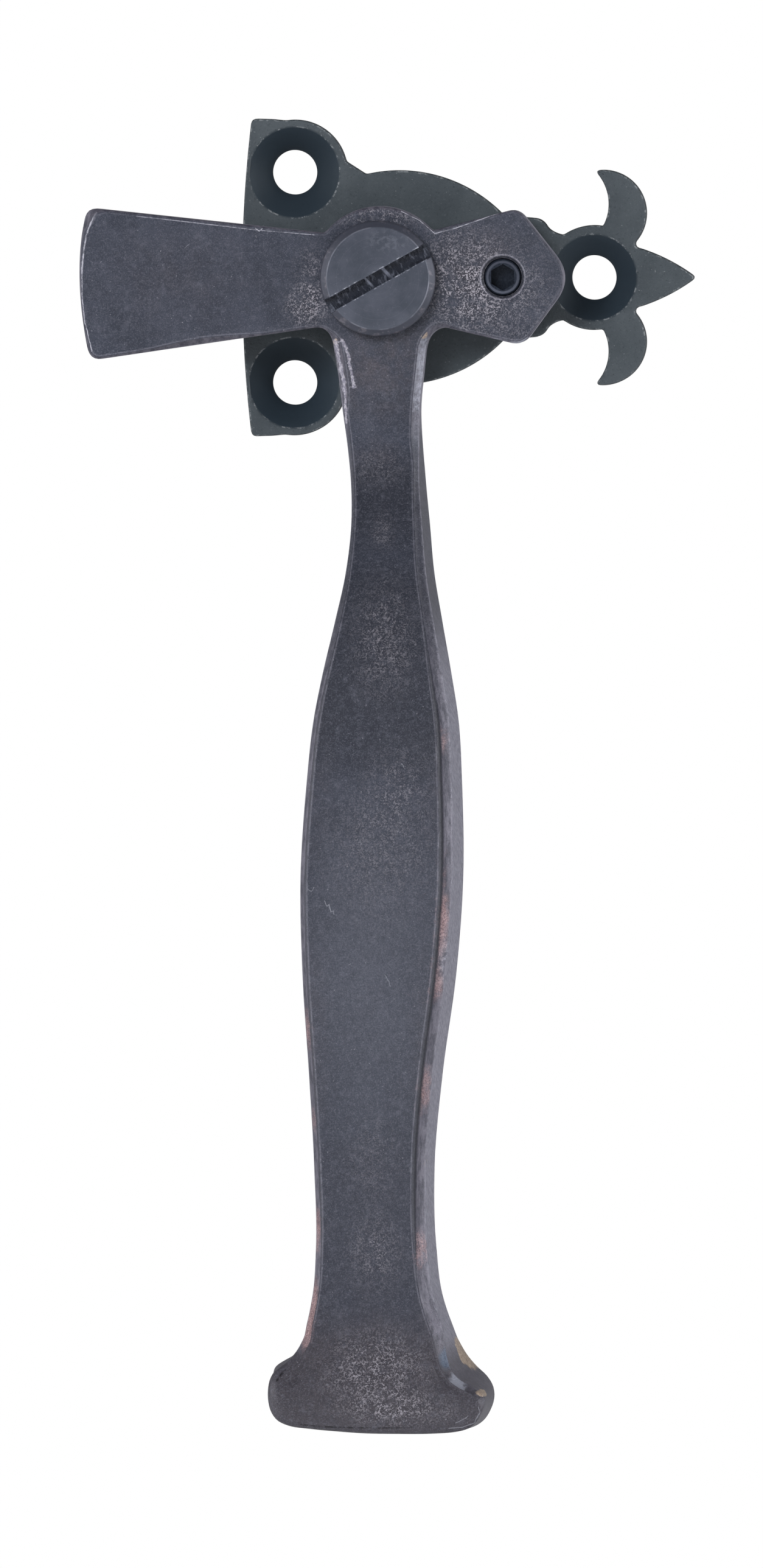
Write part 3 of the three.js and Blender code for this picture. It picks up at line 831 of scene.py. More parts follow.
def soften(piece, width, angle):
    """Breaks a piece's sharp edges with a bevel, in millimetres and degrees."""
    step = piece.modifiers.new("soften", "BEVEL")
    step.width = width * MM
    step.segments = 2
    step.limit_method = "ANGLE"
    step.angle_limit = math.radians(angle)


def build_pivot_screw():
    tip, thread = 3.2, []
    height = tip + 0.2
    while height < BOSS_END - 0.7:
        thread += [(PIVOT_CREST, height), (PIVOT_CREST, height + 0.12)]
        thread += [(PIVOT_CORE, height + 0.5), (PIVOT_CORE, height + 0.6)]
        height += PIVOT_PITCH
    shank = [(SHANK_RADIUS, BOSS_END), (SHANK_RADIUS, HEAD_BACK)]
    profile = [
        (0, tip),
        (PIVOT_CORE, tip),
        *thread,
        (PIVOT_CORE, BOSS_END),
        *rounded([(2.6, BOSS_END), *shank, (6.2, HEAD_BACK)], 0.1)[1:-1],
        (6.22, HEAD_BACK),
        (6.3, HEAD_BACK + 0.08),
        (HEAD_RADIUS, HEAD_BACK + 0.25),
        (HEAD_RADIUS, HEAD_FRONT - 0.62),
        (6.27, HEAD_FRONT - 0.45),
        (6.14, HEAD_FRONT - 0.33),
        (5.68, HEAD_FRONT - 0.12),
        (5.6, HEAD_FRONT - 0.03),
        (5.5, HEAD_FRONT),
        (3.6, HEAD_FRONT),
        (1.8, HEAD_FRONT),
        (0, HEAD_FRONT),
    ]
    points, faces = turned(profile, 128)
    piece = make_object(
        "pivot_screw_turned", points, faces, "plate", "screw_steel", ["pivot_screw"]
    )
    slot = box_points((16, 2 * SLOT_DEPTH, SLOT_WIDTH), SLOT_ANGLE, (0, -HEAD_FRONT, 0))
    cut(piece, *slot)
    soften(piece, 0.07, 60)
    return piece


def build_lock_screw():
    head, segments = LEVER_FRONT - LOCK_SUNK, 60
    tip = LEVER_FRONT - (LOCK_SUNK + LOCK_LENGTH)
    heights = np.arange(tip + 2.3, head - 1.3, LOCK_PITCH / 12)
    rows = [(0, tip, 0), (1.4, tip, 0), (DOG_RADIUS, tip + 0.35, 0), (DOG_RADIUS, tip + 2.0, 0)]
    rows += [(LOCK_CORE, h, 1) for h in heights]
    rows += [(LOCK_CORE, head - 0.9, 0), (2.02, head - 0.26, 0), (1.99, head - 0.14, 0)]
    rows += [(1.82, head - 0.03, 0), (1.7, head, 0)]
    points, rings = [], []
    for radius, height, threaded in rows:
        index = [len(points)] if radius == 0 else list(range(len(points), len(points) + segments))
        for i in range(len(index)):
            turn = i / segments
            phase = (height / LOCK_PITCH - turn) % 1.0
            fade = ease(height, tip + 2.2, tip + 3.0) * (1 - ease(height, head - 2.1, head - 1.3))
            tooth = max(0.0, 1 - abs(phase - 0.5) / 0.4) * threaded * float(fade)
            r = radius + (LOCK_CREST - LOCK_CORE) * min(1.0, 1.15 * tooth)
            angle = 2 * math.pi * turn
            points.append((LOCK_X + r * math.cos(angle), -height, LOCK_Z + r * math.sin(angle)))
        rings.append(index)
    faces = joined(rings, segments) + [rings[-1]]
    piece = make_object(
        "lock_screw_threaded", points, faces, "lock_screw", "set_screw_steel", ["lock_screw"]
    )
    corner = SOCKET_FLATS / math.sqrt(3)
    # One corner of the socket points down.
    hexagon = [
        (LOCK_X + corner * math.sin(k * math.pi / 3), LOCK_Z + corner * math.cos(k * math.pi / 3))
        for k in range(6)
    ]
    walls = [(x, -head + y, z) for y in (-1, SOCKET_DEPTH) for x, z in hexagon]
    shape = [list(range(6)), list(range(11, 5, -1))]
    shape += [[(k + 1) % 6, k, 6 + k, 6 + (k + 1) % 6] for k in range(6)]
    cut(piece, walls, shape)
    soften(piece, 0.05, 50)
    return piece


def build_pivot_boss():
    outside = [(0, SPIGOT_BACK), (SPIGOT_RADIUS, SPIGOT_BACK), (SPIGOT_RADIUS, PLATE)]
    outside += [(BOSS_RADIUS, PLATE), (BOSS_RADIUS, BOSS_END)]
    bored = [(BOSS_BORE, BOSS_END), (BOSS_BORE, BOSS_FLOOR), (0, BOSS_FLOOR)]
    points, faces = turned(rounded(outside + bored, 0.2))
    return make_object("pivot_boss_turned", points, faces, "plate", "plate_steel", ["pivot_boss"])


def washer_ring(inner, outer, low, high, edge):
    """A flat washer's points and faces, its corners cut by edge."""
    return turned(rounded([(inner, low), (outer, low), (outer, high), (inner, high)], edge, True))


def build_washers():
    thrust = make_object(
        "thrust_washer_flat",
        *washer_ring(4.15, BOSS_RADIUS, BOSS_END, THRUST_END, 0.08),
        "plate",
        "spring_steel",
        ["thrust_washer"],
    )
    middle = LEVER_FRONT - 0.45
    points, faces = washer_ring(4.3, 5.5, middle - 0.15, middle + 0.15, 0.05)
    points[:, 1] += WAVE_HEIGHT * np.cos(WAVE_COUNT * np.arctan2(points[:, 2], points[:, 0]))
    wave = make_object(
        "wave_washer_spring", points, faces, "lever", "spring_steel", ["wave_washer"]
    )
    return thrust, wave


# ---- Materials


def linear(red, green, blue):
    """A display colour, 0 to 255, as scene-linear RGBA."""
    channel = lambda c: c / 12.92 if c <= 0.04045 else ((c + 0.055) / 1.055) ** 2.4
    return (*[channel(c / 255) for c in (red, green, blue)], 1.0)


class Finish:
    """Builds one node material. Lengths in its patterns are millimetres, and colours are sockets
    or display colours from 0 to 255."""

    def __init__(self, name):
        self.material = bpy.data.materials.new(name)
        self.material.use_nodes = True
        self.tree = self.material.node_tree
        self.tree.nodes.clear()
        output = self.node("OutputMaterial")
        self.shader = self.node("BsdfPrincipled")
        self.put(output.inputs[0], self.shader.outputs[0])
        place = self.node("TexCoord")
        self.here = self.scaled(place.outputs["Object"], 1 / MM)
        self.x, self.y, self.z = self.node("SeparateXYZ", self.here).outputs
        self.colour = self.normal = None

    def put(self, socket, value):
        if isinstance(value, bpy.types.NodeSocket):
            self.tree.links.new(value, socket)
        else:
            socket.default_value = value

    def node(self, kind, *values, **named):
        """Adds a node. values go to its first sockets. A name that starts with a capital is a
        socket, and any other is a setting of the node."""
        node = self.tree.nodes.new("ShaderNode" + kind)
        for name, value in named.items():
            if name[0].islower():
                setattr(node, name, value)
            else:
                self.put(node.inputs[name.replace("_", " ")], value)
        for socket, value in zip(node.inputs, values):
            self.put(socket, value)
        return node

    def maths(self, operation, a, b=0.0, c=0.0, clamp=False):
        return self.node("Math", a, b, c, operation=operation, use_clamp=clamp).outputs[0]

    def vector(self, operation, a, b=(0, 0, 0), out="Vector"):
        return self.node("VectorMath", a, b, operation=operation).outputs[out]

    def scaled(self, a, amount):
        return self.node("VectorMath", a, operation="SCALE", Scale=amount).outputs["Vector"]

    def chain(self, operation, first, *rest):
        for value in rest:
            first = self.maths(operation, first, value)
        return first

    def add(self, *values):
        return self.chain("ADD", *values)

    def times(self, *values):
        return self.chain("MULTIPLY", *values)

    def most(self, *values):
        return self.chain("MAXIMUM", *values)

    def blend(self, value, by, plus):
        return self.maths("MULTIPLY_ADD", value, by, plus)

    def less(self, value):
        return self.maths("SUBTRACT", 1.0, value, clamp=True)

    def step(self, value, low, high):
        """0 at low and 1 at high, smooth between. low may be above high."""
        node = self.node("MapRange", value, min(low, high), max(low, high))
        node.interpolation_type = "SMOOTHSTEP"
        if low > high:
            node.inputs["To Min"].default_value = 1.0
            node.inputs["To Max"].default_value = 0.0
        return node.outputs[0]

    def texture(self, place, scale, detail, rough=0.5, warp=0.0):
        """Noise at a place; without one, the place is linked later."""
        node = self.node("TexNoise", Scale=scale, Detail=detail, Roughness=rough, Distortion=warp)
        if place is not None:
            self.put(node.inputs["Vector"], place)
        return node

    def moved(self, node, stretch, shift):
        """Links a pattern's node to the place, stretched and shifted."""
        place = self.node("Mapping", Vector=self.here, Scale=stretch, Location=shift)
        self.put(node.inputs["Vector"], place.outputs[0])

    def noise(self, size, detail=3.0, rough=0.55, warp=0.0, stretch=(1, 1, 1), shift=(0, 0, 0)):
        node = self.texture(None, 1 / size, detail, rough, warp)
        self.moved(node, stretch, shift)
        return node.outputs["Fac"]

    def cells(self, size, shift=(0, 0, 0)):
        node = self.node("TexVoronoi", Scale=1 / size)
        self.moved(node, (1, 1, 1), shift)
        return node.outputs["Distance"]

    def slanted(self, length, width, degrees, shift=(0, 0, 0)):
        """Fine parallel marks on faces that look sideways, slanting down and away."""
        angle = (math.radians(degrees), 0, 0)
        turn = self.node("Mapping", Vector=self.here, Rotation=angle, Location=shift)
        squeeze = self.node("Mapping", Vector=turn.outputs[0])
        squeeze.inputs["Scale"].default_value = (1 / length, 1 / length, 1 / width)
        return self.texture(squeeze.outputs[0], 1.0, 3.0, 0.65).outputs["Fac"]

    def strokes(self, lines, wobble):
        """1 on thin lines drawn through points in X and Z. Each line starts with its half width."""
        flat = self.node("CombineXYZ")
        self.put(flat.inputs["X"], self.add(self.x, wobble))
        self.put(flat.inputs["Z"], self.z)
        nearest = None
        for width, *points in lines:
            for start, end in zip(points, points[1:]):
                run = Vector((end[0] - start[0], 0, end[1] - start[1]))
                away = self.vector("SUBTRACT", flat.outputs[0], (start[0], 0, start[1]))
                share = self.vector("DOT_PRODUCT", away, run, "Value")
                share = self.maths("DIVIDE", share, run.length_squared)
                # Not a clamped node: the renderer's stack is too small for so many of those.
                share = self.maths("MINIMUM", self.maths("MAXIMUM", share, 0.0), 1.0)
                gap = self.vector("SUBTRACT", away, self.scaled(run, share))
                gap = self.maths("DIVIDE", self.vector("LENGTH", gap, out="Value"), width)
                nearest = gap if nearest is None else self.maths("MINIMUM", nearest, gap)
        return self.step(self.add(nearest, self.times(self.noise(0.45, 3, 0.7), 1.6)), 2.0, 1.2)

    def value(self, *names):
        found = [self.node("Attribute", attribute_name=name).outputs["Fac"] for name in names]
        return found if len(names) > 1 else found[0]

    def radius(self, x=None, z=None):
        """The distance from the Y axis, or from a line beside it."""
        x, z = x or self.x, z or self.z
        return self.maths("SQRT", self.add(self.times(x, x), self.times(z, z)))

    def blob(self, x, z, wide, tall):
        """1 in the middle of an ellipse, falling to 0 past its edge."""
        u = self.maths("DIVIDE", self.maths("SUBTRACT", self.x, x), wide)
        w = self.maths("DIVIDE", self.maths("SUBTRACT", self.z, z), tall)
        return self.step(self.radius(u, w), 1.25, 0.55)

    def mix(self, share, a, b):
        node = self.node("Mix", share, data_type="RGBA")
        for socket, value in zip([s for s in node.inputs if s.type == "RGBA"], (a, b)):
            self.put(socket, linear(*value) if isinstance(value, tuple) else value)
        return next(s for s in node.outputs if s.type == "RGBA")

    def tint(self, to, *shares):
        """Lays a colour over what is there, by the product of the shares."""
        self.colour = self.mix(self.times(*shares), self.colour, to)

    def speckle(self, pattern, *layers):
        """Tints where a pattern lies beyond a limit: (low, high, share, colour)."""
        for low, high, share, to in layers:
            self.tint(to, self.step(pattern, low, high), share)

    def emboss(self, pattern, depth):
        """Adds relief from a pattern that runs from 0 to 1, depth millimetres deep."""
        node = self.node("Bump", Strength=1.0, Distance=depth * MM, Height=pattern)
        if self.normal is not None:
            self.put(node.inputs["Normal"], self.normal)
        self.normal = node.outputs[0]

    def done(self, **sockets):
        """Sets the shader's sockets, and returns the material."""
        for name, value in dict(sockets, Normal=self.normal, Base_Color=self.colour).items():
            self.put(self.shader.inputs[name.replace("_", " ")], value)
        return self.material


# Marks on the lever's front, as [half width, (x, z), (x, z), ...].
NECK_BURRS = [
    [0.26, (-4.65, -6.9), (-4.45, -8.4), (-4.15, -9.8), (-3.85, -11.0), (-3.7, -12.4)],
    [0.15, (-3.7, -12.4), (-3.65, -14.0), (-3.45, -15.8)],
    [0.2, (-4.0, -6.8), (-3.5, -7.6), (-3.3, -8.5), (-3.05, -9.7), (-2.8, -10.8), (-2.65, -11.9)],
    [0.09, (-4.0, -6.8), (-4.3, -7.0), (-4.65, -6.9)],
]
SCRATCHES = [
    [0.06, (-5.5, -67.9), (-5.2, -68.5), (-5, -68.3), (-4.8, -69.1), (-4.5, -69), (-4.45, -69.4)],
    [0.05, (1.2, -76.0), (1.6, -76.7), (1.75, -77.2)],
    [0.05, (3.0, -52.9), (3.3, -53.3)],
    [0.04, (-7.3, -66.6), (-6.9, -66.9), (-6.6, -66.4)],
    [0.04, (-21.2, 3.3), (-20.8, 3.7)],
    [0.05, (9.0, -124.9), (10.0, -124.4), (10.3, -124.1)],
    [0.05, (8.2, -125.5), (9.6, -125.4), (11.0, -124.9), (11.6, -123.8), (11.4, -123.2)],
]
WORN_LINES = [
    [0.10, (-30.9, 7.2), (-31.5, 6.1), (-32.05, 4.6), (-32.35, 2.6), (-32.5, 0.5)],
    [0.05, (-32.5, 0.5), (-32.45, -2.4), (-32.2, -4.6), (-31.4, -8.0)],
    [0.035, (-26.5, 6.8), (-22.0, 6.3), (-13.5, 5.3), (-7.0, 4.75)],
    [0.05, (-13.5, 5.5), (-13.05, 5.15), (-12.7, 5.45)],
    [0.05, (2.5, 7.35), (4.6, 6.3), (6.2, 4.9), (8.5, 5.5), (13.6, 7.3)],
]
# Painted shade: dark lines in the foot's creases.
CREASE_SHADE_LINES = [
    [0.09, (-8.2, -125.1), (-6.0, -125.35), (-3.0, -125.45), (0.5, -125.5), (4.0, -125.45)],
    [0.12, (-9.8, -119.2), (-10.4, -119.9), (-10.7, -120.4)],
]


def patina_material():
    """Blackened forged steel: blue-grey scale, brown tints, crusts of light flecks in patches that
    are partly a painted sheen, copper and straw heat tints, bright worn edges, side faces
    brightened partly as a painted highlight, and painted shade over the crank's bend and in
    grooves, bores and creases."""
    f = Finish("lever_patina")
    edge, bevel, groove, side, bored, front = f.value(
        "edge", "bevel", "groove", "side", "hole", "front"
    )
    cloud = f.noise(5.0, 4, 0.6, shift=(9, 4, 2))
    mottle = f.noise(1.6, 4, 0.65, shift=(2, 7, 5))
    grain = f.noise(0.28, 3, 0.7, warp=0.5, shift=(5, 1, 3))
    fine = f.noise(0.14, 2, 0.6, shift=(2, 2, 9))

    f.colour = f.mix(f.step(cloud, 0.3, 0.7), (49, 53, 65), (60, 64, 77))
    f.tint((86, 89, 101), f.value("palm"), 0.75)
    f.tint((79, 72, 75), f.value("warm"), f.step(mottle, 0.2, 0.75), 0.8)
    # Painted shade over the crank's bend and slope.
    f.tint((41, 43, 52), f.value("bent"), 0.9)
    f.tint((54, 56, 67), f.value("lower"), 0.7)
    f.tint((64, 59, 64), f.value("foot"), 0.75)
    f.speckle(mottle, (0.5, 0.75, 0.15, (96, 97, 108)), (0.48, 0.28, 0.3, (58, 60, 70)))
    f.speckle(fine, (0.5, 0.7, 0.36, (108, 110, 122)), (0.5, 0.3, 0.45, (42, 45, 54)))
    f.speckle(grain, (0.52, 0.72, 0.36, (106, 108, 120)), (0.48, 0.28, 0.36, (42, 45, 54)))
    blots = f.noise(0.75, 3, 0.6, warp=0.4, shift=(8, 8, 3))
    f.speckle(blots, (0.52, 0.7, 0.18, (104, 106, 119)), (0.48, 0.3, 0.22, (44, 47, 57)))
    # Crusts of light flecks: short worms and grains on a darker base, placed and strengthened where
    # the lamps' sheen falls on the scale, so partly a painted sheen.
    winding = f.noise(0.36, 1, 0.4, warp=0.8, shift=(4, 4, 4))
    level = f.maths("ABSOLUTE", f.maths("SUBTRACT", winding, 0.5))
    worms = f.times(
        f.step(level, 0.07, 0.025), f.step(f.noise(0.3, 2, 0.6, shift=(1, 9, 6)), 0.44, 0.56)
    )
    crumbs = f.step(f.noise(0.2, 2, 0.6, warp=0.5, shift=(3, 6, 2)), 0.52, 0.62)
    flecked = f.step(f.add(worms, f.times(crumbs, 0.8)), 0.2, 0.9)
    ragged = f.step(f.noise(1.1, 4, 0.75, shift=(8, 2, 9)), 0.3, 0.6)
    scale_and_sheen = f.times(f.value("scale"), ragged, front)
    f.tint((46, 44, 51), scale_and_sheen, f.less(flecked), 0.5)
    f.tint((156, 153, 162), scale_and_sheen, flecked, 1.0)
    dust = f.step(f.noise(0.25, 1, 0.5, shift=(5, 5, 5)), 0.75, 0.79)
    f.tint((150, 150, 160), dust, front, 0.5)

    # The side faces are brighter from grinding, with fine slanting marks; part of that brightness
    # is a painted highlight of the side lamps.
    marks = f.slanted(0.9, 0.12, 40, shift=(1, 2, 8))
    ground_and_sheen = f.mix(f.step(marks, 0.38, 0.62), (110, 110, 124), (150, 149, 164))
    f.tint(ground_and_sheen, side, f.value("bare"), 0.9)
    # Chamfers are rubbed lighter in streaks that run along them.
    streak = f.noise(0.8, 4, 0.75, stretch=(1, 1, 0.3), shift=(6, 6, 1))
    rubbed = f.mix(f.step(streak, 0.35, 0.65), (56, 56, 68), (98, 96, 108))
    f.tint(rubbed, bevel, f.value("bare"), 0.85)
    torn = f.noise(0.9, 4, 0.75, shift=(3, 3, 3))
    bright = f.step(f.add(f.times(f.value("steel"), bevel), f.times(torn, 0.9)), 0.95, 1.25)
    f.tint((142, 145, 158), bright, 0.8)
    # Heat tints break up at their edges.
    coppered = f.times(f.value("copper"), f.most(bevel, f.times(edge, 0.7)))
    coppered = f.step(f.add(coppered, torn), 0.6, 1.15)
    coppered = f.times(coppered, f.step(f.value("copper"), 0.05, 0.3))
    rosy = f.mix(f.step(fine, 0.4, 0.6), (112, 84, 86), (172, 142, 142))
    f.tint(rosy, coppered, 0.65)
    strawed = f.times(f.value("straw"), f.most(side, edge, bevel))
    strawed = f.step(f.add(strawed, f.times(torn, 0.8)), 0.8, 0.95)
    cream = f.mix(f.step(grain, 0.35, 0.65), (132, 116, 104), (188, 170, 152))
    f.tint(cream, strawed, f.step(f.value("straw"), 0.1, 0.3), 0.8)
    blued = f.add(f.times(f.value("blue"), bevel), f.times(torn, 0.7))
    f.tint((58, 76, 98), f.step(blued, 0.6, 1.1), 0.6)

    # Worn ridges break up along their length; grooves and the bores' walls are painted dark as
    # shade.
    broken = f.step(f.noise(0.9, 4, 0.75, shift=(7, 1, 1)), 0.38, 0.56)
    worn = f.times(f.step(edge, 0.2, 0.8), f.blend(broken, 0.6, 0.4))
    f.tint((146, 145, 158), worn, f.less(f.times(f.value("foot"), 0.7)), 0.75)
    f.tint((30, 31, 39), groove, 0.9)
    f.tint((40, 43, 52), bored, 0.8)
    # Grinding burrs down the neck's left edge, rubbed lines, scratches, and dark lines painted as
    # shade in the foot's creases.
    wobble = f.blend(f.noise(0.7, 3, 0.7, shift=(1, 1, 4)), 0.9, -0.45)
    burrs = f.times(f.strokes(NECK_BURRS, f.times(wobble, 0.7)), front, 0.85)
    f.tint(f.mix(f.step(grain, 0.4, 0.6), (120, 118, 134), (176, 173, 184)), burrs)
    rubs = f.times(f.strokes(WORN_LINES, f.times(wobble, 0.25)), f.blend(broken, 0.75, 0.25))
    f.tint((176, 176, 188), rubs, front, 0.9)
    f.tint((146, 148, 158), f.strokes(SCRATCHES, f.times(wobble, 0.5)), front, 0.5)
    f.tint((24, 23, 28), f.strokes(CREASE_SHADE_LINES, f.times(wobble, 0.5)), broken, front, 0.9)

    rough = f.blend(flecked, -0.06, f.blend(worn, -0.12, f.blend(grain, 0.16, 0.38)))
    for pattern, depth in ((cloud, 0.10), (grain, 0.02), (fine, 0.01), (flecked, 0.012)):
        f.emboss(pattern, depth)
    f.emboss(f.times(side, marks), 0.03)
    f.emboss(f.times(bevel, streak), 0.08)
    return f.done(Metallic=0.3, Roughness=rough)


def plate_material():
    """Fine-grained charcoal steel with nicked edges; its countersinks are smoother and painted
    darker as shade.
    """
    f = Finish("plate_grain")
    edge, dark, side = f.value("edge", "hole", "side")
    cloud = f.noise(6.0, 3, 0.6)
    grain = f.noise(0.26, 4, 0.7, warp=0.4, shift=(2, 3, 4))
    pits = f.cells(0.5, shift=(3, 1, 7))
    f.colour = f.mix(f.step(cloud, 0.3, 0.7), (60, 66, 71), (70, 76, 81))
    f.speckle(grain, (0.56, 0.72, 0.4, (86, 91, 95)), (0.44, 0.3, 0.45, (36, 40, 44)))
    f.tint((42, 46, 50), side, 0.5)
    # Painted shade in the countersinks and the lock hole's wall.
    f.tint((34, 44, 53), dark, 0.9)
    rubbed = f.step(edge, 0.3, 0.9)
    nicks = f.step(f.noise(0.7, 4, 0.75, shift=(1, 5, 5)), 0.5, 0.62)
    f.tint((128, 132, 136), rubbed, nicks, 0.7)
    specks = f.step(f.noise(0.3, 1, 0.5, shift=(9, 5, 1)), 0.74, 0.78)
    f.tint((120, 124, 128), specks, f.less(dark), 0.5)
    f.emboss(cloud, 0.08)
    f.emboss(f.times(grain, f.less(dark)), 0.05)
    f.emboss(f.times(f.step(pits, 0.0, 0.25), f.less(dark)), 0.012)
    return f.done(Metallic=0.1, Roughness=0.55, Specular_IOR_Level=0.25)


def screw_material():
    """Turned steel: faint rings round the face, rubbed patches, a bright rim, and a slot painted
    dark as shade, its floor notched across by the cutter with two facets painted lit."""
    f = Finish("screw_turned")
    out = f.radius()
    height = f.times(f.y, -1.0)
    across_rings = f.node("CombineXYZ", out).outputs[0]
    turning = f.texture(across_rings, 5.0, 4.0, 0.7).outputs["Fac"]
    cloud = f.noise(3.2, 4, 0.6, shift=(5, 5, 5))
    grain = f.noise(0.25, 3, 0.7)
    f.colour = f.mix(f.step(cloud, 0.32, 0.68), (64, 69, 80), (78, 82, 94))
    f.speckle(turning, (0.55, 0.7, 0.35, (108, 112, 124)))
    f.speckle(grain, (0.58, 0.72, 0.25, (112, 114, 126)))
    rubbed = f.blob(1.2, 4.2, 2.6, 1.3)
    rubbed = f.times(rubbed, f.step(f.noise(0.6, 4, 0.7, shift=(2, 2, 2)), 0.45, 0.62))
    f.tint((112, 116, 128), rubbed, 0.35)
    rim = f.times(f.step(out, 5.5, 5.58), f.step(out, 5.72, 5.62))
    bevel = f.step(out, 5.6, 5.7)
    blotch = f.step(f.noise(1.3, 4, 0.7, shift=(8, 1, 4)), 0.5, 0.68)
    f.tint((57, 59, 70), bevel, 0.85)
    f.tint((116, 112, 120), bevel, blotch, 0.5)
    f.tint((124, 126, 138), rim, f.step(f.noise(2.0, 3, 0.6), 0.4, 0.62), 0.5)
    cosine, sine = math.cos(SLOT_ANGLE), math.sin(SLOT_ANGLE)
    along = f.add(f.times(f.x, cosine), f.times(f.z, sine))
    offset = f.add(f.times(f.z, cosine), f.times(f.x, -sine))
    across = f.maths("ABSOLUTE", offset)
    deep = f.step(height, HEAD_FRONT - 0.1, HEAD_FRONT - 0.3)
    inside_slot = f.times(deep, f.step(across, 0.85, 0.8))
    place = f.node("CombineXYZ")
    f.put(place.inputs["X"], f.times(along, 1.6))
    f.put(place.inputs["Y"], f.times(offset, 0.7))
    notch = f.texture(place.outputs[0], 1.2, 4.0, 0.65).outputs["Fac"]
    chips = f.step(notch, 0.5, 0.68)
    lean = f.add(along, f.times(offset, 0.25))
    first = f.step(f.maths("ABSOLUTE", f.maths("SUBTRACT", lean, 1.15)), 0.26, 0.1)
    second = f.step(f.maths("ABSOLUTE", f.maths("SUBTRACT", lean, -1.05)), 0.2, 0.06)
    steps = f.times(f.most(first, second), f.step(offset, -0.9, 0.2))
    lit = f.most(f.times(chips, 0.4), f.times(steps, 0.9))
    # Painted shade fills the slot; its notches and two floor facets are painted lit.
    f.tint(f.mix(lit, (40, 44, 55), (138, 143, 160)), inside_slot)
    worn = f.times(
        f.step(across, 0.92, 0.84),
        f.step(across, 0.7, 0.78),
        f.step(height, HEAD_FRONT - 0.2, HEAD_FRONT - 0.08),
        f.step(f.noise(0.7, 4, 0.75, shift=(6, 3, 1)), 0.5, 0.62),
    )
    f.tint((165, 168, 180), worn, 0.75)
    f.emboss(turning, 0.012)
    f.emboss(grain, 0.01)
    f.emboss(f.times(notch, inside_slot), 0.5)
    return f.done(Metallic=0.4, Roughness=f.blend(grain, 0.14, 0.36))


def set_screw_material():
    """Blackened alloy steel: near-black socket, rubbed ring round its mouth."""
    f = Finish("set_screw_black")
    out = f.radius(f.maths("SUBTRACT", f.x, LOCK_X), f.maths("SUBTRACT", f.z, LOCK_Z))
    grain = f.noise(0.2, 3, 0.6)
    ring = f.times(f.step(out, 1.5, 1.6), f.step(out, 1.86, 1.74), f.step(f.y, -13.4, -13.7))
    f.colour = f.mix(f.step(grain, 0.4, 0.65), (36, 42, 54), (50, 56, 68))
    f.tint((84, 88, 102), ring, 0.9)
    rough = f.blend(grain, 0.15, 0.28)
    f.emboss(grain, 0.006)
    return f.done(Metallic=0.6, Roughness=rough)


def spring_material():
    """Bright rolled washer steel, brushed round, with darker stains."""
    f = Finish("spring_bright")
    rings = f.texture(f.node("CombineXYZ", f.radius()).outputs[0], 8.0, 2.0).outputs["Fac"]
    stain = f.noise(2.0, 4, 0.65)
    f.colour = f.mix(f.step(stain, 0.35, 0.7), (96, 97, 102), (138, 139, 143))
    rough = f.blend(stain, 0.25, 0.25)
    f.emboss(rings, 0.01)
    return f.done(Metallic=1.0, Roughness=rough)


# ---- Stage

VIEW_AZIMUTH = math.radians(1.6)
VIEW_ELEVATION = math.radians(1.0)
VIEW_CENTRE = (0.43, -HEAD_FRONT, -55.35)
VIEW_DISTANCE = 6000.0
VIEW_HEIGHT = 171.7
SENSOR = 24
FLOOR_HEIGHT = -0.26
ROOM_LIGHT = 0.33
CEILING_SHARE = 0.35
LAMP_TARGET = (0, 0, -0.05)
# Name, place and size in metres, and power in watts.
LAMPS = [
    ("left_box", (-1.3, -0.25, -0.05), (1.6, 1.6), 16),
    ("right_box", (1.3, -0.25, -0.05), (1.6, 1.6), 26),
    ("key", (-0.4, -1.3, 0.45), (0.5, 0.4), 19),
]


def place_facing(name, data, place, target):
    """An object that looks from its place to a target."""
    thing = bpy.data.objects.new(name, data)
    bpy.context.scene.collection.objects.link(thing)
    thing.location = place
    direction = Vector(target) - thing.location
    thing.rotation_euler = direction.to_track_quat("-Z", "Y").to_euler()
    return thing


def add_camera():
    data = bpy.data.cameras.new("camera")
    target = Vector(VIEW_CENTRE) * MM
    level = math.cos(VIEW_ELEVATION)
    away = Vector(
        (math.sin(VIEW_AZIMUTH) * level, -math.cos(VIEW_AZIMUTH) * level, math.sin(VIEW_ELEVATION))
    )
    camera = place_facing("camera", data, target + away * VIEW_DISTANCE * MM, target)
    data.sensor_fit = "VERTICAL"
    data.sensor_height = SENSOR
    data.lens = SENSOR * VIEW_DISTANCE / VIEW_HEIGHT
    data.clip_start, data.clip_end = 0.05, 20
    bpy.context.scene.camera = camera


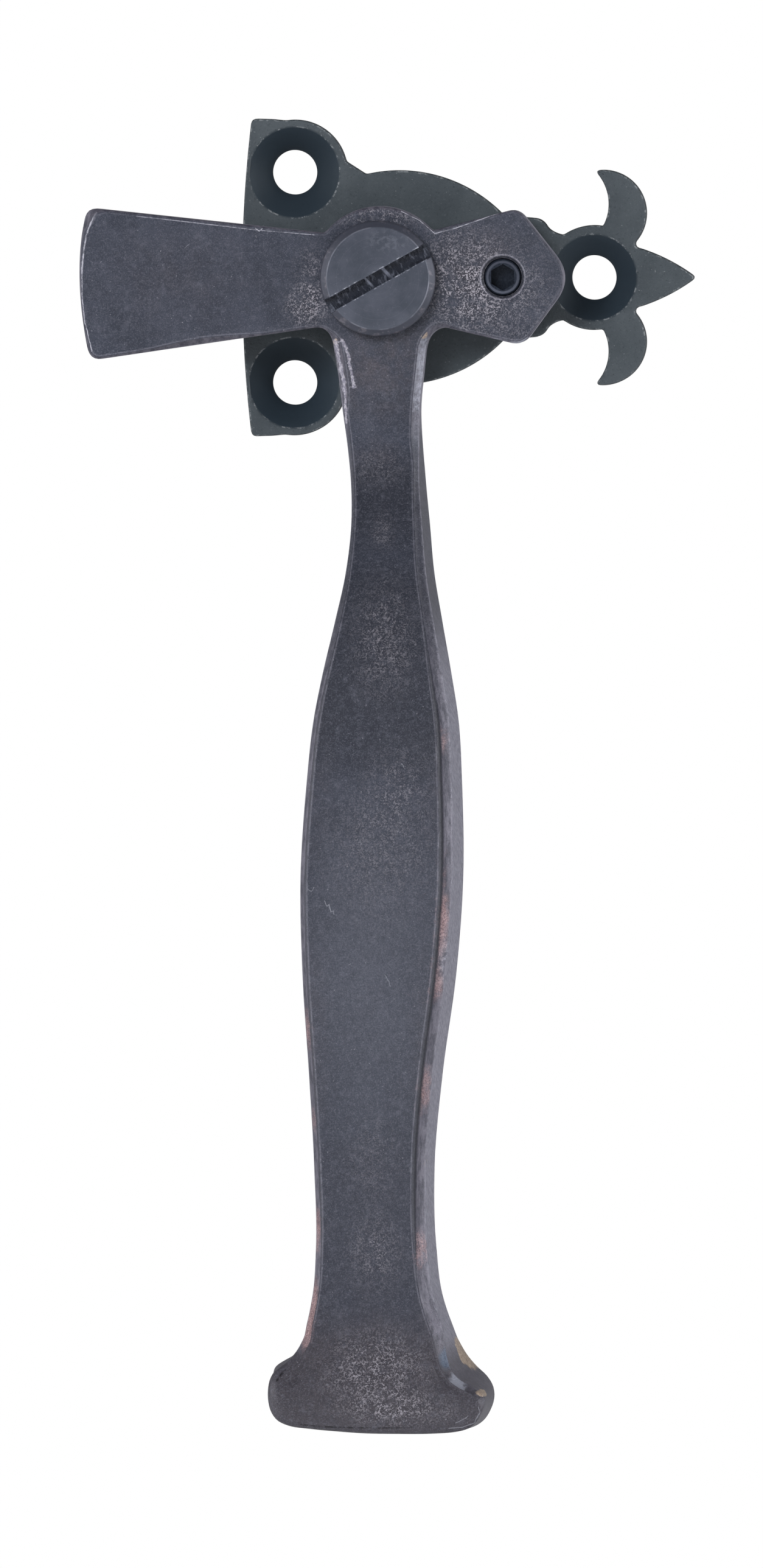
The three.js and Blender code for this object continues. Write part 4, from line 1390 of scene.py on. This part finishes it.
def add_world():
    """A white backdrop for the camera, and a dimmer room for the light that falls on the object:
    darkest overhead, lighter at the sides."""
    world = bpy.data.worlds.new("studio")
    world.use_nodes = True
    tree = world.node_tree
    tree.nodes.clear()
    output, choose, seen, room, paper, place, split, ramp = (
        tree.nodes.new("ShaderNode" + kind)
        for kind in "OutputWorld MixShader LightPath Background Background TexCoord "
        "SeparateXYZ MapRange".split()
    )
    paper.inputs["Color"].default_value = (1, 1, 1, 1)
    ramp.interpolation_type = "SMOOTHSTEP"
    ends = {"From Min": 0.1, "From Max": 0.75}
    ends.update({"To Min": ROOM_LIGHT, "To Max": CEILING_SHARE * ROOM_LIGHT})
    for name, value in ends.items():
        ramp.inputs[name].default_value = value
    for start, end in (
        (place.outputs["Generated"], split.inputs[0]),
        (split.outputs["Z"], ramp.inputs["Value"]),
        (ramp.outputs[0], room.inputs["Strength"]),
        (seen.outputs["Is Camera Ray"], choose.inputs[0]),
        (room.outputs[0], choose.inputs[1]),
        (paper.outputs[0], choose.inputs[2]),
        (choose.outputs[0], output.inputs[0]),
    ):
        tree.links.new(start, end)
    bpy.context.scene.world = world


def add_stage():
    add_world()
    for name, place, size, power in LAMPS:
        data = bpy.data.lights.new(name, "AREA")
        data.shape = "RECTANGLE"
        data.size, data.size_y = size
        data.energy = power
        lamp = place_facing(name, data, place, LAMP_TARGET)
        # The key lamp would mirror as a white patch in the neck's bend.
        lamp.visible_glossy = name != "key"
    bpy.ops.mesh.primitive_plane_add(size=2.4, location=(0, 0, FLOOR_HEIGHT))
    floor = bpy.context.object
    floor.name = "floor"
    paper = bpy.data.materials.new("pale_floor")
    paper.use_nodes = True
    shader = paper.node_tree.nodes["Principled BSDF"]
    shader.inputs["Base Color"].default_value = (0.85, 0.85, 0.85, 1)
    shader.inputs["Roughness"].default_value = 0.8
    floor.data.materials.append(paper)
    bpy.context.scene.view_settings.view_transform = "Standard"


# ---- Assembly

add_camera()
add_stage()

plate = build_backplate()
lever = build_lever()
pivot_screw = build_pivot_screw()
lock_screw = build_lock_screw()
boss = build_pivot_boss()
washers = build_washers()

for build_finish, pieces in (
    (patina_material, [lever]),
    (plate_material, [plate, boss]),
    (screw_material, [pivot_screw]),
    (set_screw_material, [lock_screw]),
    (spring_material, washers),
):
    finish = build_finish()
    for piece in pieces:
        piece.data.materials.append(finish)
